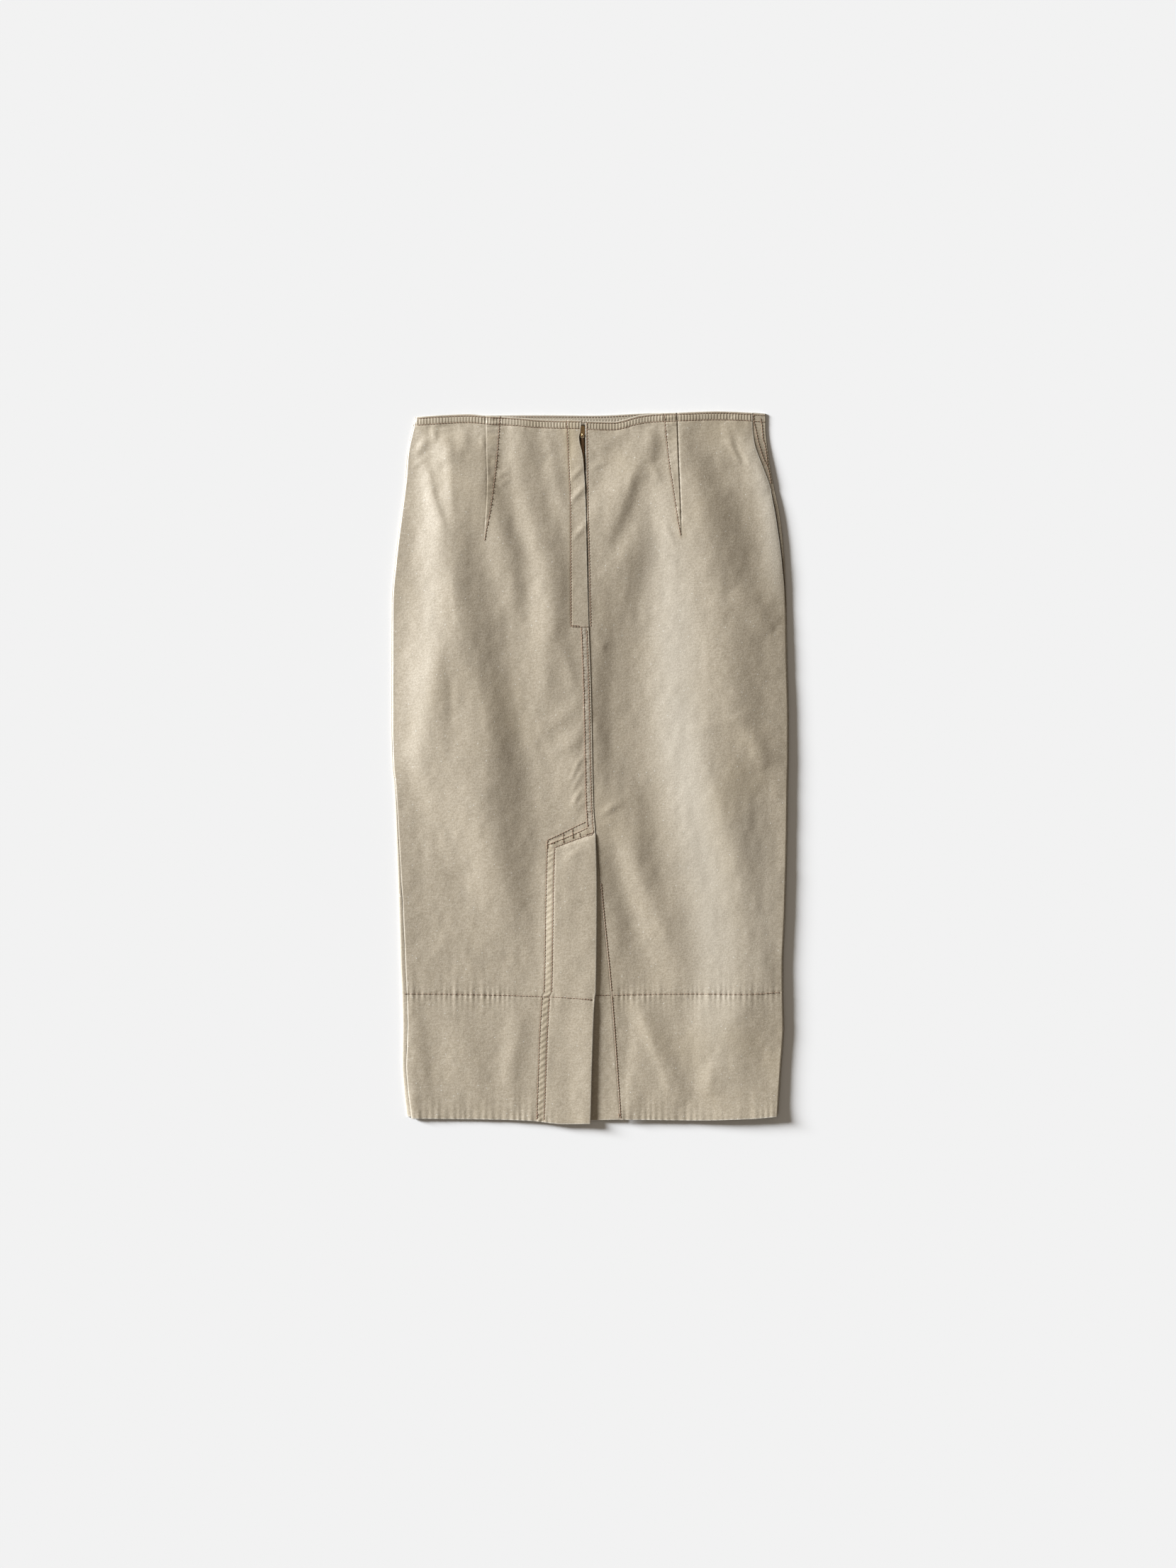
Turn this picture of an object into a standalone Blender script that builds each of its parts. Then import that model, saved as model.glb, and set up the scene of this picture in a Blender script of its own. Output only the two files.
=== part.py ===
# A long fitted skirt of cotton sateen, lying flat on its front with its back on top.
# The body is a closed tube of cloth walls, worked out section by section from the waist to
# the hem. X runs across, +Y towards the waist, +Z up, and the origin is on the floor under
# the middle of the skirt. Sizes here are in millimetres. "Across" is measured to the right of
# the middle, and "down" from the highest point of the waist.

import math

import bmesh
import bpy
import numpy as np
from mathutils import Vector

MM = 0.001

LENGTH = 825.0              # highest point of the waist to lowest point of the hem
CLOTH = 1.2                 # wall of a panel
SEAM_GAP = 0.3              # between two pieces at a seam
SIDE_ROUND = 3.4            # how far in from the edge the side fold turns
SEAM_RISE = 0.12            # share of the side fold's quarter turn kept below a hidden seam
LEFT_SPREAD = 20.0          # how far the lift of the left panel's centre edge reaches
RIGHT_SPREAD = 18.0         # the same for the right panel's

FACING_DEPTH = 11.0
FACING_INSET = 46.0         # end of the facing from the side fold
FACING_MIDDLE = 8.0         # way down at which the side folds are taken for it

UNDERLAY_TOP = 2.7          # height of the underlay at its hidden edge
UNDERLAY_WIDTH = 52.0       # hidden edge of the underlay from the flap's edge
UNDERLAY_RISE = 24.0        # width over which it rises under the flap
UNDERLAY_OPEN = 9.0         # least width of its level part beside the seam
FLAP_GAP = 0.5              # between the flap and the underlay at the flap's edge
# Columns of the underlay: 0 its hidden edge, 1 start of the rise, 2 start of the level part,
# 3 its seam.
UNDERLAY_SHARES = [0.0, 0.6, 1.0, 1.5, 2.0, 2.5, 3.0]

TAPE_WIDTH = 24.0
TAPE_THICK = 0.9
TAPE_BOTTOM = 1.5
TAPE_START, TAPE_END = 15.8, 254.0
CHAIN_WIDTH = 4.2
CHAIN_THICK = 0.7
CHAIN_BOTTOM = 2.7
CHAIN_START, CHAIN_END = 31.5, 249.0
ZIP_TOP_ACROSS, ZIP_END_ACROSS = -8.6, -5.6

SLIDER_START, SLIDER_END = 16.6, 30.6
SLIDER_WIDTH = 5.8
SLIDER_BOTTOM, SLIDER_TOP = 2.7, 4.2
SLIDER_SHOULDER = 3.0       # how far from its start the slider is widest
SLIDER_NOSE, SLIDER_TAIL = 0.62, 0.8    # widths of its two ends, as shares of the widest
CROWN_WIDTH = 1.0
CROWN_INNER, CROWN_OUTER = 0.9, 1.75
CROWN_SINK = 0.3            # how deep the crown's feet go into the slider

HINGE_DOWN = 27.3           # the pull's axis
HINGE_HEIGHT = 5.2
PULL_THICK = 0.9
PULL_HEAD = 2.35            # radius of the round head
PULL_EYE_LENGTH, PULL_EYE_WIDTH = 1.9, 1.9
PULL_LENGTH = 23.0          # axis to tip
PULL_NECK, PULL_TIP = 2.0, 1.3
PULL_LEAN = 1.0             # how far the tip lies to the right of the axis
PULL_DROP = math.radians(2.4)
ARCH_STEPS, HEAD_STEPS, EYE_STEPS = 8, 14, 12    # corners of the round forms


def table(columns, *rows):
    """Columns of a table by name, each a row of numbers."""
    return dict(zip(columns.split(), np.array(rows, dtype=float).T))


OUTLINE = table(
    "down    left   right",
    (0, -199.0, 204.0),
    (16, -203.0, 204.4),
    (51, -211.0, 209.4),
    (78, -213.6, 213.4),
    (123, -219.3, 221.6),
    (172, -225.2, 226.0),
    (221, -229.2, 228.0),
    (280, -229.5, 229.0),
    (360, -229.6, 230.8),
    (395, -229.0, 230.8),
    (443, -225.8, 229.8),
    (478, -224.4, 229.4),
    (578, -220.7, 227.0),
    (644, -218.8, 224.4),
    (668, -217.8, 224.4),
    (711, -216.9, 225.4),
    (754, -217.2, 222.6),
    (782, -215.2, 220.6),
    (825, -210.3, 217.8),
)

# Height of the top face along the two side folds.
LEFT_FOLD = table(
    "down  height",
    (0, 4.6),
    (825, 4.6),
)

RIGHT_FOLD = table(
    "down  height",
    (0, 4.6),
    (250, 4.6),
    (420, 4.9),
    (675, 5.4),
    (780, 5.4),
    (825, 5.3),
)


class Rib:
    """A line down the skirt with the top face's height along it, as (down, across, height) rows."""

    def __init__(self, name, *rows):
        self.name = name
        self.rows = table("down across height", *rows)


# The ribs in order across the skirt, between the two side folds.
RIBS = [
    Rib("left hip, its start",
        (0, -190, 4.5), (50, -199, 4.5), (100, -203, 3.4), (150, -207, 3.6), (200, -209, 3.7),
        (250, -214, 4.2), (300, -216, 4.5), (350, -216, 4.5), (400, -215, 4.5), (450, -207, 3.7),
        (500, -200, 3.5), (550, -196, 3.3), (600, -193, 3.2), (650, -196, 3.6), (700, -197, 3.8),
        (750, -194, 3.8), (825, -190, 4.2)),
    Rib("left hip, its top",
        (0, -172, 4.6), (50, -172, 7.0), (75, -172, 7.8), (100, -170, 8.8), (150, -168, 10.3),
        (200, -166, 10.9), (250, -168, 11.4), (300, -177, 11.7), (350, -181, 10.6), (400, -193, 8.7),
        (450, -178, 6.7), (500, -160, 5.4), (550, -152, 3.7), (600, -150, 3.4), (650, -160, 3.7),
        (700, -160, 4.3), (825, -160, 4.4)),
    Rib("crest over the long fold",
        (0, -158, 4.8), (25, -158, 6.2), (50, -158, 8.4), (75, -158, 9.5), (100, -157, 10.4),
        (125, -155, 11.0), (150, -154, 11.2), (175, -156, 11.5), (200, -157, 12.1), (250, -149, 13.2),
        (300, -142, 13.0), (350, -123, 12.3), (400, -120, 11.9), (450, -121, 11.6), (500, -113, 9.9),
        (550, -99, 7.5), (600, -88, 4.8), (650, -84, 3.6), (825, -84, 3.8)),
    Rib("foot of the long fold",
        (0, -130, 4.9), (50, -128, 7.8), (100, -128, 10.8), (125, -126, 10.6), (150, -125, 9.7),
        (175, -121, 8.8), (200, -112, 8.4), (225, -104, 8.2), (250, -93, 8.1), (300, -88, 8.1),
        (350, -80, 7.8), (400, -70, 6.6), (450, -61, 6.1), (500, -58, 5.9), (550, -61, 5.1),
        (600, -63, 4.5), (650, -64, 4.5), (825, -64, 4.5)),
    Rib("low ridge beside the dart",
        (0, -114, 4.9), (50, -114, 6.9), (100, -112, 9.8), (125, -109, 10.7), (150, -101, 10.9),
        (175, -94, 10.0), (200, -90, 9.2), (225, -88, 8.6), (250, -82, 8.2), (300, -78, 8.3),
        (350, -70, 8.1), (400, -60, 6.9), (450, -52, 6.2), (500, -49, 5.9), (550, -50, 5.4),
        (600, -51, 4.5), (650, -52, 4.5), (825, -52, 4.5)),
    Rib("dip after it",
        (0, -100, 5.0), (25, -100, 5.8), (50, -101, 6.1), (75, -95, 6.9), (100, -90, 7.8),
        (125, -85, 8.8), (150, -79, 9.1), (175, -73, 8.9), (200, -74, 8.4), (225, -74, 8.2),
        (250, -72, 8.4), (300, -66, 8.9), (350, -60, 8.4), (400, -50, 7.1), (450, -43, 6.3),
        (500, -40, 6.0), (550, -41, 5.9), (600, -42, 5.2), (650, -43, 4.6), (825, -43, 4.5)),
    Rib("ridge to the left of the zip",
        (0, -80, 5.1), (25, -80, 6.6), (50, -80, 7.4), (75, -77, 7.7), (100, -72, 8.7), (125, -65, 9.9),
        (150, -57, 10.9), (175, -50, 10.9), (200, -46, 10.8), (225, -43, 10.7), (250, -44, 10.8),
        (300, -50, 9.9), (350, -46, 8.4), (400, -38, 7.7), (450, -33, 6.6), (500, -30, 5.9),
        (550, -30, 5.3), (600, -30, 4.9), (650, -30, 4.6), (825, -30, 4.5)),
    Rib("beside the zip's lap",
        (0, -56, 5.2), (25, -57, 5.7), (50, -46, 5.7), (75, -50, 6.4), (100, -48, 7.0), (125, -37, 7.9),
        (150, -24, 8.2), (200, -20, 8.3), (250, -20, 8.7), (300, -20, 8.9), (350, -20, 8.7),
        (400, -18, 8.4), (450, -17, 7.2), (500, -16, 6.1), (550, -15, 5.5), (600, -15, 5.2),
        (650, -15, 4.9), (700, -15, 4.7), (825, -15, 4.5)),
    Rib("centre",
        (0, -8, 5.8), (31, -8, 5.9), (50, -8, 6.0), (75, -6, 5.9), (100, -5, 6.7), (125, -3, 7.3),
        (150, -2, 7.5), (200, -1, 7.4), (250, 1, 7.5), (300, 2, 7.7), (350, 4, 8.0), (400, 6, 7.8),
        (450, 7, 7.2), (500, 9, 6.3), (550, 10, 5.4), (600, 10, 5.2), (650, 10, 5.0), (700, 9, 4.8),
        (750, 8, 4.6), (825, 6, 4.6)),
    Rib("right of the centre",
        (0, 30, 5.2), (50, 34, 5.3), (75, 40, 6.0), (100, 40, 6.6), (125, 40, 7.0), (150, 40, 7.1),
        (200, 40, 6.3), (225, 34, 5.8), (250, 32, 5.4), (300, 28, 5.0), (350, 28, 5.3), (400, 30, 5.5),
        (450, 45, 6.2), (500, 50, 6.4), (550, 44, 5.2), (600, 54, 4.7), (650, 58, 4.6), (825, 60, 4.5)),
    Rib("foot of the large ridge",
        (0, 72, 4.9), (50, 84, 5.8), (75, 65, 7.1), (100, 63, 7.1), (125, 68, 7.0), (150, 70, 6.7),
        (175, 69, 5.7), (200, 65, 4.6), (225, 62, 4.2), (250, 60, 4.1), (300, 58, 4.0), (350, 62, 4.2),
        (400, 62, 4.5), (450, 74, 4.5), (500, 86, 4.1), (550, 100, 3.8), (600, 117, 4.0),
        (650, 112, 4.4), (700, 107, 4.5), (750, 114, 4.2), (825, 124, 4.3)),
    Rib("halfway up it",
        (0, 88, 5.0), (50, 94, 6.0), (75, 90, 7.8), (100, 92, 9.5), (125, 98, 9.9), (150, 100, 9.7),
        (200, 104, 7.8), (250, 105, 7.4), (300, 105, 7.3), (400, 104, 7.5), (450, 115, 7.8),
        (500, 126, 6.9), (550, 138, 6.2), (600, 148, 6.1), (650, 150, 6.3), (700, 142, 6.7),
        (750, 142, 5.7), (825, 150, 4.6)),
    Rib("crest of the large ridge",
        (0, 106, 4.9), (25, 103, 4.9), (50, 106, 6.2), (75, 115, 8.3), (100, 122, 10.5),
        (125, 129, 11.9), (150, 136, 12.1), (175, 141, 11.7), (200, 146, 10.9), (225, 150, 10.5),
        (250, 152, 10.5), (300, 158, 10.9), (340, 163, 10.5), (355, 158, 10.4), (370, 138, 10.1),
        (400, 140, 10.5), (450, 151, 11.0), (500, 165, 10.0), (550, 174, 8.6), (600, 178, 7.5),
        (650, 178, 7.6), (700, 172, 8.4), (750, 168, 6.6), (825, 180, 5.0)),
    Rib("foot of its far side",
        (0, 130, 4.8), (25, 128, 4.5), (50, 142, 4.5), (75, 158, 4.0), (100, 178, 4.1), (125, 195, 4.3),
        (150, 198, 4.7), (175, 200, 5.1), (200, 205, 5.3), (225, 211, 5.3), (250, 206, 5.8),
        (300, 205, 5.9), (350, 208, 6.0), (400, 186, 7.1), (450, 205, 5.6), (500, 206, 6.0),
        (550, 206, 6.4), (600, 207, 6.0), (650, 206, 6.1), (700, 206, 6.2), (750, 206, 5.4),
        (825, 205, 5.3)),
]

# How far in from the side folds the side seams lie.
SIDE_SEAMS = table(
    "down  left_inset  right_inset",
    (0, 0.0, 15.6),
    (36, 0.0, 14.6),
    (66, 0.0, 8.4),
    (88, 0.0, 4.6),
    (110, 0.0, 4.4),
    (166, 0.0, 2.6),
    (215, 0.0, 0.6),
    (240, 0.0, 0.0),
    (400, 0.0, 0.0),
    (430, 1.2, 0.0),
    (520, 2.8, 0.0),
    (600, 4.6, 0.0),
    (660, 5.4, 0.0),
    (705, 5.6, 0.0),
    (780, 4.0, 0.0),
    (825, 4.4, 0.0),
)

# The pocket mouth opens the right side seam between these places.
POCKET_TOP, POCKET_END, POCKET_GAP = 92.0, 230.0, 1.5

# Left back panel: edge of the zip's lap, then the centre seam, then the vent's flap.
LAP_EDGE = table(
    "down  across",
    (10, -10.0),
    (23, -10.4),
    (29, -12.0),
    (34, -11.8),
    (42, -10.1),
    (49, -8.4),
    (60, -7.0),
    (80, -5.6),
    (109, -4.5),
    (180, -2.9),
    (249, -0.8),
    (312, 1.6),
    (457, 4.9),
    (494, 7.2),
    (554, 8.5),
    (672, 7.3),
    (680, 4.8),
    (745, 2.2),
    (825, 0.1),
)

# Right back panel: folded edge beside the zip, then the centre seam, then the underlay's seam.
RIGHT_EDGE = table(
    "down  across",
    (11, -5.6),
    (20, -4.9),
    (55, -4.5),
    (109, -3.5),
    (180, -1.6),
    (249, 0.1),
    (312, 2.1),
    (457, 5.5),
    (488, 7.8),
    (563, 13.9),
    (672, 24.6),
    (818, 35.1),
    (825, 35.6),
)

WAIST_BACK_LEFT = table(
    "across  down",
    (-199, 6.3),
    (-165, 4.1),
    (-141, 3.3),
    (-120, 5.0),
    (-84, 7.1),
    (-62, 9.2),
    (-40, 9.9),
    (-10, 10.4),
)

WAIST_BACK_RIGHT = table(
    "across  down",
    (-6, 11.2),
    (29, 12.0),
    (41, 9.4),
    (57, 4.9),
    (73, 2.8),
    (100, 1.7),
    (149, 0.0),
    (189, 1.4),
    (204, 2.5),
)

WAIST_FRONT = table(
    "across  down",
    (-199, 6.3),
    (-165, 5.0),
    (-120, 4.4),
    (-55, 4.1),
    (5, 4.5),
    (73, 1.8),
    (149, 1.2),
    (189, 1.4),
    (204, 2.5),
)

BAND_SEAM_LEFT = table(
    "across  down",
    (-217, 673.2),
    (-174, 673.6),
    (-108, 674.9),
    (-52, 676.5),
    (5, 679.8),
)

BAND_SEAM_RIGHT = table(
    "across  down",
    (-50, 675.5),
    (7, 675.0),
    (124, 673.3),
    (178, 673.8),
    (221, 671.6),
)

HEM_LEFT = table(
    "across  down",
    (-210, 820.4),
    (-133, 820.0),
    (-70, 821.2),
    (-30, 825.0),
    (0, 824.7),
)

HEM_RIGHT = table(
    "across  down",
    (-50, 820.8),
    (2, 820.8),
    (35, 820.0),
    (125, 820.8),
    (187, 818.9),
    (217, 816.4),
)

HEM_FRONT = table(
    "across  down",
    (-210, 820.4),
    (-120, 818.6),
    (120, 818.4),
    (217, 816.4),
)

BAND_SEAM_FRONT = table("across  down", (-217, 673.2), (221, 671.6))

VENT_TOP = table("across  down", (-50, 500.0), (4, 489.0), (9, 488.6))

# How much higher (or lower) each back panel lies along its centre edge.
CENTRE_LIFT = table(
    "down  left  right",
    (0, 0.9, 0.4),
    (60, 0.8, 0.1),
    (250, 0.5, -0.2),
    (460, 0.3, -0.2),
    (520, 1.7, 0.8),
    (675, 2.0, 0.3),
    (825, 1.9, 0.4),
)


class Fold:
    """A soft ridge along a route of (across, down) points, with a slope on either side."""

    def __init__(self, name, rise, left, right, *route):
        self.name = name
        self.rise, self.left, self.right = rise, left, right
        self.route = np.array(route, dtype=float)


FOLDS = [
    Fold("upper right of the zip", 2.5, 22, 12, (66, 22), (60, 48), (47, 76), (39, 100), (29, 126),
         (12, 156)),
    Fold("lower right of the zip", 1, 12, 18, (62, 118), (49, 150), (36, 176), (20, 200)),
    Fold("right corner", 1.8, 13, 12, (162, 8), (178, 30), (196, 56), (214, 90)),
    Fold("below the right corner", 1.6, 24, 9, (170, 40), (188, 80), (202, 120), (211, 160),
         (215, 205)),
    Fold("right hip", 1.1, 14, 14, (168, 206), (188, 228), (210, 256)),
    Fold("beside the hook", 1.3, 12, 12, (170, 350), (186, 376), (206, 412)),
    Fold("outside the vent", 1.6, 13, 18, (30, 472), (54, 508), (73, 550), (94, 600), (108, 640)),
    Fold("trough beside the vent", -1.4, 17, 12, (17, 480), (28, 520), (38, 560), (49, 600), (60, 636),
         (64, 670)),
    Fold("beside the vent", 1.3, 9, 14, (50, 668), (62, 700), (82, 750), (104, 806)),
    Fold("trough in the band", -0.8, 16, 9, (38, 676), (42, 712), (40, 752), (32, 814)),
    Fold("left thigh", 0.5, 13, 13, (-187, 500), (-184, 526), (-182, 556)),
    Fold("band, left", 1.3, 18, 18, (-164, 680), (-156, 708), (-140, 748), (-122, 806)),
    Fold("band, left middle", 0.9, 12, 12, (-82, 684), (-84, 722), (-91, 762), (-90, 812)),
    Fold("right side", 0.8, 12, 12, (196, 610), (201, 640), (203, 676)),
]

# Shares of a back panel's width where its columns stand, measured from the side seam.
SIDE_SHARES = [0.0, 0.007, 0.014, 0.022, 0.034]
PANEL_COLUMNS = 15
PANEL_ROWS = 30
BAND_ROWS = 7
WRAP_COLUMNS = 8
FLOOR_COLUMNS = 6
UNDERLAY_ROWS = 8
FACING_COLUMNS = 16
DENSE = 70                  # points of a section before its columns are spaced out
ROUTE_POINTS = 18           # points along a fold's route
FOLD_FADE = 0.7             # how soon a fold rises from its ends; lower is sooner
POCKET_FADE = 0.5           # the same for the gap of the pocket's mouth
SIDE_CROWDING = 1.6         # how strongly a section's points gather at the side fold
SEAM_CROWDING = 2.0         # the same for the front's part above the side fold
BORDER_PASSES = 4           # rounds of finding where the underlay meets its borders
SHARP_ANGLE = math.radians(40)

KHAKI = (0.50, 0.42, 0.31)
KHAKI_INSIDE = (0.44, 0.37, 0.27)
TAPE_COLOUR = (0.33, 0.27, 0.19)
GOLD = (0.74, 0.55, 0.30)
COPPER = (0.62, 0.36, 0.22)
CLOTH_ROUGHNESS, METAL_ROUGHNESS = 0.8, 0.35


# Working from the tables

def smooth(xs, ys, x):
    """A smooth curve through (xs, ys) that doesn't swing past them."""
    x = np.clip(x, xs[0], xs[-1])
    step = np.diff(xs)
    slope = np.diff(ys) / step
    tangent = np.zeros_like(ys)
    tangent[0], tangent[-1] = slope[0], slope[-1]
    turning = slope[:-1] * slope[1:] <= 0
    steep = 2 * slope[:-1] * slope[1:] / np.where(turning, 1, slope[:-1] + slope[1:])
    tangent[1:-1] = np.where(turning, 0, steep)
    i = np.clip(np.searchsorted(xs, x, side="right") - 1, 0, len(xs) - 2)
    h = step[i]
    t = (x - xs[i]) / h
    return (
        (1 + 2 * t) * (1 - t) ** 2 * ys[i]
        + t * (1 - t) ** 2 * h * tangent[i]
        + t * t * (3 - 2 * t) * ys[i + 1]
        + t * t * (t - 1) * h * tangent[i + 1]
    )


def read(rows, column, at, by="down"):
    return smooth(rows[by], rows[column], np.asarray(at, dtype=float))


def left_edge(down):
    return read(OUTLINE, "left", down)


def right_edge(down):
    return read(OUTLINE, "right", down)


def lap_edge(down):
    return read(LAP_EDGE, "across", down)


def right_centre_edge(down):
    return read(RIGHT_EDGE, "across", down)


def bell(distance):
    return np.exp(-distance * distance)


def fold_height(fold, across, down):
    """Height that one fold adds at each place."""
    route = fold.route
    length = np.concatenate([[0], np.cumsum(np.hypot(*np.diff(route, axis=0).T))])
    count = ROUTE_POINTS
    along = np.linspace(0, length[-1], count)
    path = np.stack([smooth(length, route[:, 0], along), smooth(length, route[:, 1], along)], axis=-1)
    start, run = path[:-1], np.diff(path, axis=0)
    place = np.stack([across, down], axis=-1)[..., None, :] - start
    share = np.clip((place * run).sum(-1) / (run * run).sum(-1), 0, 1)
    offset = place - share[..., None] * run
    distance = np.hypot(offset[..., 0], offset[..., 1])
    nearest = distance.argmin(-1)[..., None]
    side = np.take_along_axis(run[:, 1] * place[..., 0] - run[:, 0] * place[..., 1], nearest, -1)[..., 0]
    near = np.take_along_axis(distance, nearest, -1)[..., 0]
    travel = (nearest[..., 0] + np.take_along_axis(share, nearest, -1)[..., 0]) / (count - 1)
    reach = np.where(side < 0, fold.left, fold.right)
    return fold.rise * np.sin(math.pi * np.clip(travel, 0.0, 1.0)) ** FOLD_FADE * bell(near / reach)


def rib_height(across, down):
    """A smooth curve over the two side folds and the ribs between them."""
    x = [left_edge(down)] + [read(rib.rows, "across", down) for rib in RIBS] + [right_edge(down)]
    y = [read(LEFT_FOLD, "height", down)] + [read(rib.rows, "height", down) for rib in RIBS]
    x, y = np.array(x), np.array(y + [read(RIGHT_FOLD, "height", down)])
    run = np.diff(x, axis=0)
    slope = np.diff(y, axis=0) / run
    turning = slope[:-1] * slope[1:] <= 0
    steep = 2 * slope[:-1] * slope[1:] / np.where(turning, 1, slope[:-1] + slope[1:])
    tangent = np.concatenate([slope[:1], np.where(turning, 0, steep), slope[-1:]])
    i = np.clip((across >= x).sum(0) - 1, 0, len(RIBS))[None]

    def pick(rows, shift=0):
        return np.take_along_axis(rows, i + shift, 0)[0]

    h = pick(run)
    t = np.clip((across - pick(x)) / h, 0, 1)
    return (
        (1 + 2 * t) * (1 - t) ** 2 * pick(y)
        + t * (1 - t) ** 2 * h * pick(tangent)
        + t * t * (3 - 2 * t) * pick(y, 1)
        + t * t * (t - 1) * h * pick(tangent, 1)
    )


def top_height(across, down, side):
    """Height of the back's top face; side is -1 for the left panel and 1 for the right one."""
    across, down = np.broadcast_arrays(np.asarray(across, float), np.asarray(down, float))
    height = rib_height(across, down)
    for fold in FOLDS:
        height = height + fold_height(fold, across, down)
    if side < 0:
        return height + read(CENTRE_LIFT, "left", down) * bell((across - lap_edge(down)) / LEFT_SPREAD)
    from_seam = across - right_centre_edge(down)
    return height + read(CENTRE_LIFT, "right", down) * bell(from_seam / RIGHT_SPREAD)


def turn(across, edge, side):
    """0 on the outermost line of a side fold, 1 where its top is reached."""
    inward = np.clip((edge - across) * side / SIDE_ROUND, 0, 1)
    return np.sqrt(np.clip(1 - (1 - inward) ** 2, 0, 1))


def shell_height(across, down, side):
    """Top face with its side fold rounded down to half its height."""
    edge = left_edge(down) if side < 0 else right_edge(down)
    top = top_height(across, down, side)
    return top / 2 + top / 2 * turn(across, edge, side)


def side_seam(down, side):
    column = "left_inset" if side < 0 else "right_inset"
    return read(SIDE_SEAMS, column, down)


def pocket_gap(down, side):
    """Width of the gap at the side seam; the right one has the pocket's mouth."""
    if side < 0:
        return SEAM_GAP + 0 * down
    share = np.clip((down - POCKET_TOP) / (POCKET_END - POCKET_TOP), 0, 1)
    return SEAM_GAP + (POCKET_GAP - SEAM_GAP) * np.sin(math.pi * share) ** POCKET_FADE


# Section lines

def spaced(points, shares):
    """Points standing at the given shares of a line's length."""
    steps = np.linalg.norm(np.diff(points, axis=0), axis=1)
    length = np.concatenate([[0], np.cumsum(steps)])
    at = np.asarray(shares) * length[-1]
    return np.stack([np.interp(at, length, points[:, k]) for k in range(points.shape[1])], axis=-1)


def top_line(start, end, down, side):
    """Dense line over the top from start to end, close-spaced where the side fold turns."""
    share = 0.5 - 0.5 * np.cos(np.linspace(0, math.pi, DENSE))
    across = start + (end - start) * share ** SIDE_CROWDING
    return np.stack([across, shell_height(across, np.full(DENSE, float(down)), side)], axis=-1)


def back_section(down, side, shares):
    """Across and height of one back panel's section, from its side seam to its centre edge."""
    edge = float(left_edge(down) if side < 0 else right_edge(down))
    inset = max(float(side_seam(down, side)), SEAM_RISE * SIDE_ROUND)
    start = edge - side * (inset + float(pocket_gap(np.array(down, float), side)))
    end = float(lap_edge(down) if side < 0 else right_centre_edge(down))
    return spaced(top_line(start, end, down, side), shares)


def wrap_section(down, side, shares):
    """Section of the front where it turns up round the side, from the floor to the side seam."""
    edge = float(left_edge(down) if side < 0 else right_edge(down))
    inset = max(float(side_seam(down, side)), SEAM_RISE * SIDE_ROUND)
    angle = np.linspace(-math.pi / 2, 0, DENSE)
    half = float(top_height(edge, down, side)) / 2
    low_across = edge - side * SIDE_ROUND * (1 - np.cos(angle))
    low_height = half + half * np.sin(angle)
    high_across = edge - side * np.linspace(0, 1, DENSE) ** SEAM_CROWDING * inset
    high = shell_height(high_across, np.full(DENSE, float(down)), side)
    low = np.stack([low_across, low_height], -1)
    return spaced(np.concatenate([low, np.stack([high_across, high], -1)[1:]]), shares)


# Solids

def place(across, down, height):
    return Vector((across * MM, (LENGTH / 2 - down) * MM, height * MM))


def material(name, colour, roughness, metallic=0.0):
    made = bpy.data.materials.new(name)
    made.use_nodes = True
    shader = made.node_tree.nodes["Principled BSDF"]
    shader.inputs["Base Color"].default_value = (*colour, 1)
    shader.inputs["Roughness"].default_value = roughness
    shader.inputs["Metallic"].default_value = metallic
    return made


def add_object(name, mesh_builder, colour, roughness=CLOTH_ROUGHNESS, metallic=0.0, origin=(0, 0, 0)):
    mesh = bpy.data.meshes.new(name)
    for v in mesh_builder.verts:
        v.co -= Vector(origin)
    bmesh.ops.recalc_face_normals(mesh_builder, faces=mesh_builder.faces)
    mesh_builder.to_mesh(mesh)
    mesh_builder.free()
    mesh.materials.append(material(name, colour, roughness, metallic))
    mesh.shade_smooth()
    mesh.set_sharp_from_angle(angle=SHARP_ANGLE)
    made = bpy.data.objects.new(name, mesh)
    made.location = origin
    bpy.context.scene.collection.objects.link(made)
    return made


def wall(name, grid, colour, inward=1, thick=CLOTH):
    """A cloth wall: the outer face is the grid of points, the inner one is offset from it."""
    rows, columns = grid.shape[:2]
    along = np.gradient(grid, axis=0, edge_order=min(2, rows - 1))
    across = np.gradient(grid, axis=1, edge_order=2)
    normal = np.cross(along, across)
    normal = normal / np.linalg.norm(normal, axis=-1, keepdims=True) * inward
    inner = grid + normal * thick
    builder = bmesh.new()
    faces = [[[builder.verts.new(place(*p)) for p in row] for row in face] for face in (grid, inner)]
    outer, inside = faces
    for i in range(rows - 1):
        for j in range(columns - 1):
            builder.faces.new((outer[i][j], outer[i][j + 1], outer[i + 1][j + 1], outer[i + 1][j]))
            builder.faces.new((inside[i][j], inside[i + 1][j], inside[i + 1][j + 1], inside[i][j + 1]))
    ring = [(0, j) for j in range(columns)] + [(i, columns - 1) for i in range(1, rows)]
    ring += [(rows - 1, j) for j in range(columns - 2, -1, -1)] + [(i, 0) for i in range(rows - 2, 0, -1)]
    for (a, b), (c, d) in zip(ring, ring[1:] + ring[:1]):
        builder.faces.new((outer[c][d], outer[a][b], inside[a][b], inside[c][d]))
    return add_object(name, builder, colour)


def between(top, bottom, rows):
    return [top + (bottom - top) * k / (rows - 1) for k in range(rows)]


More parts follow.
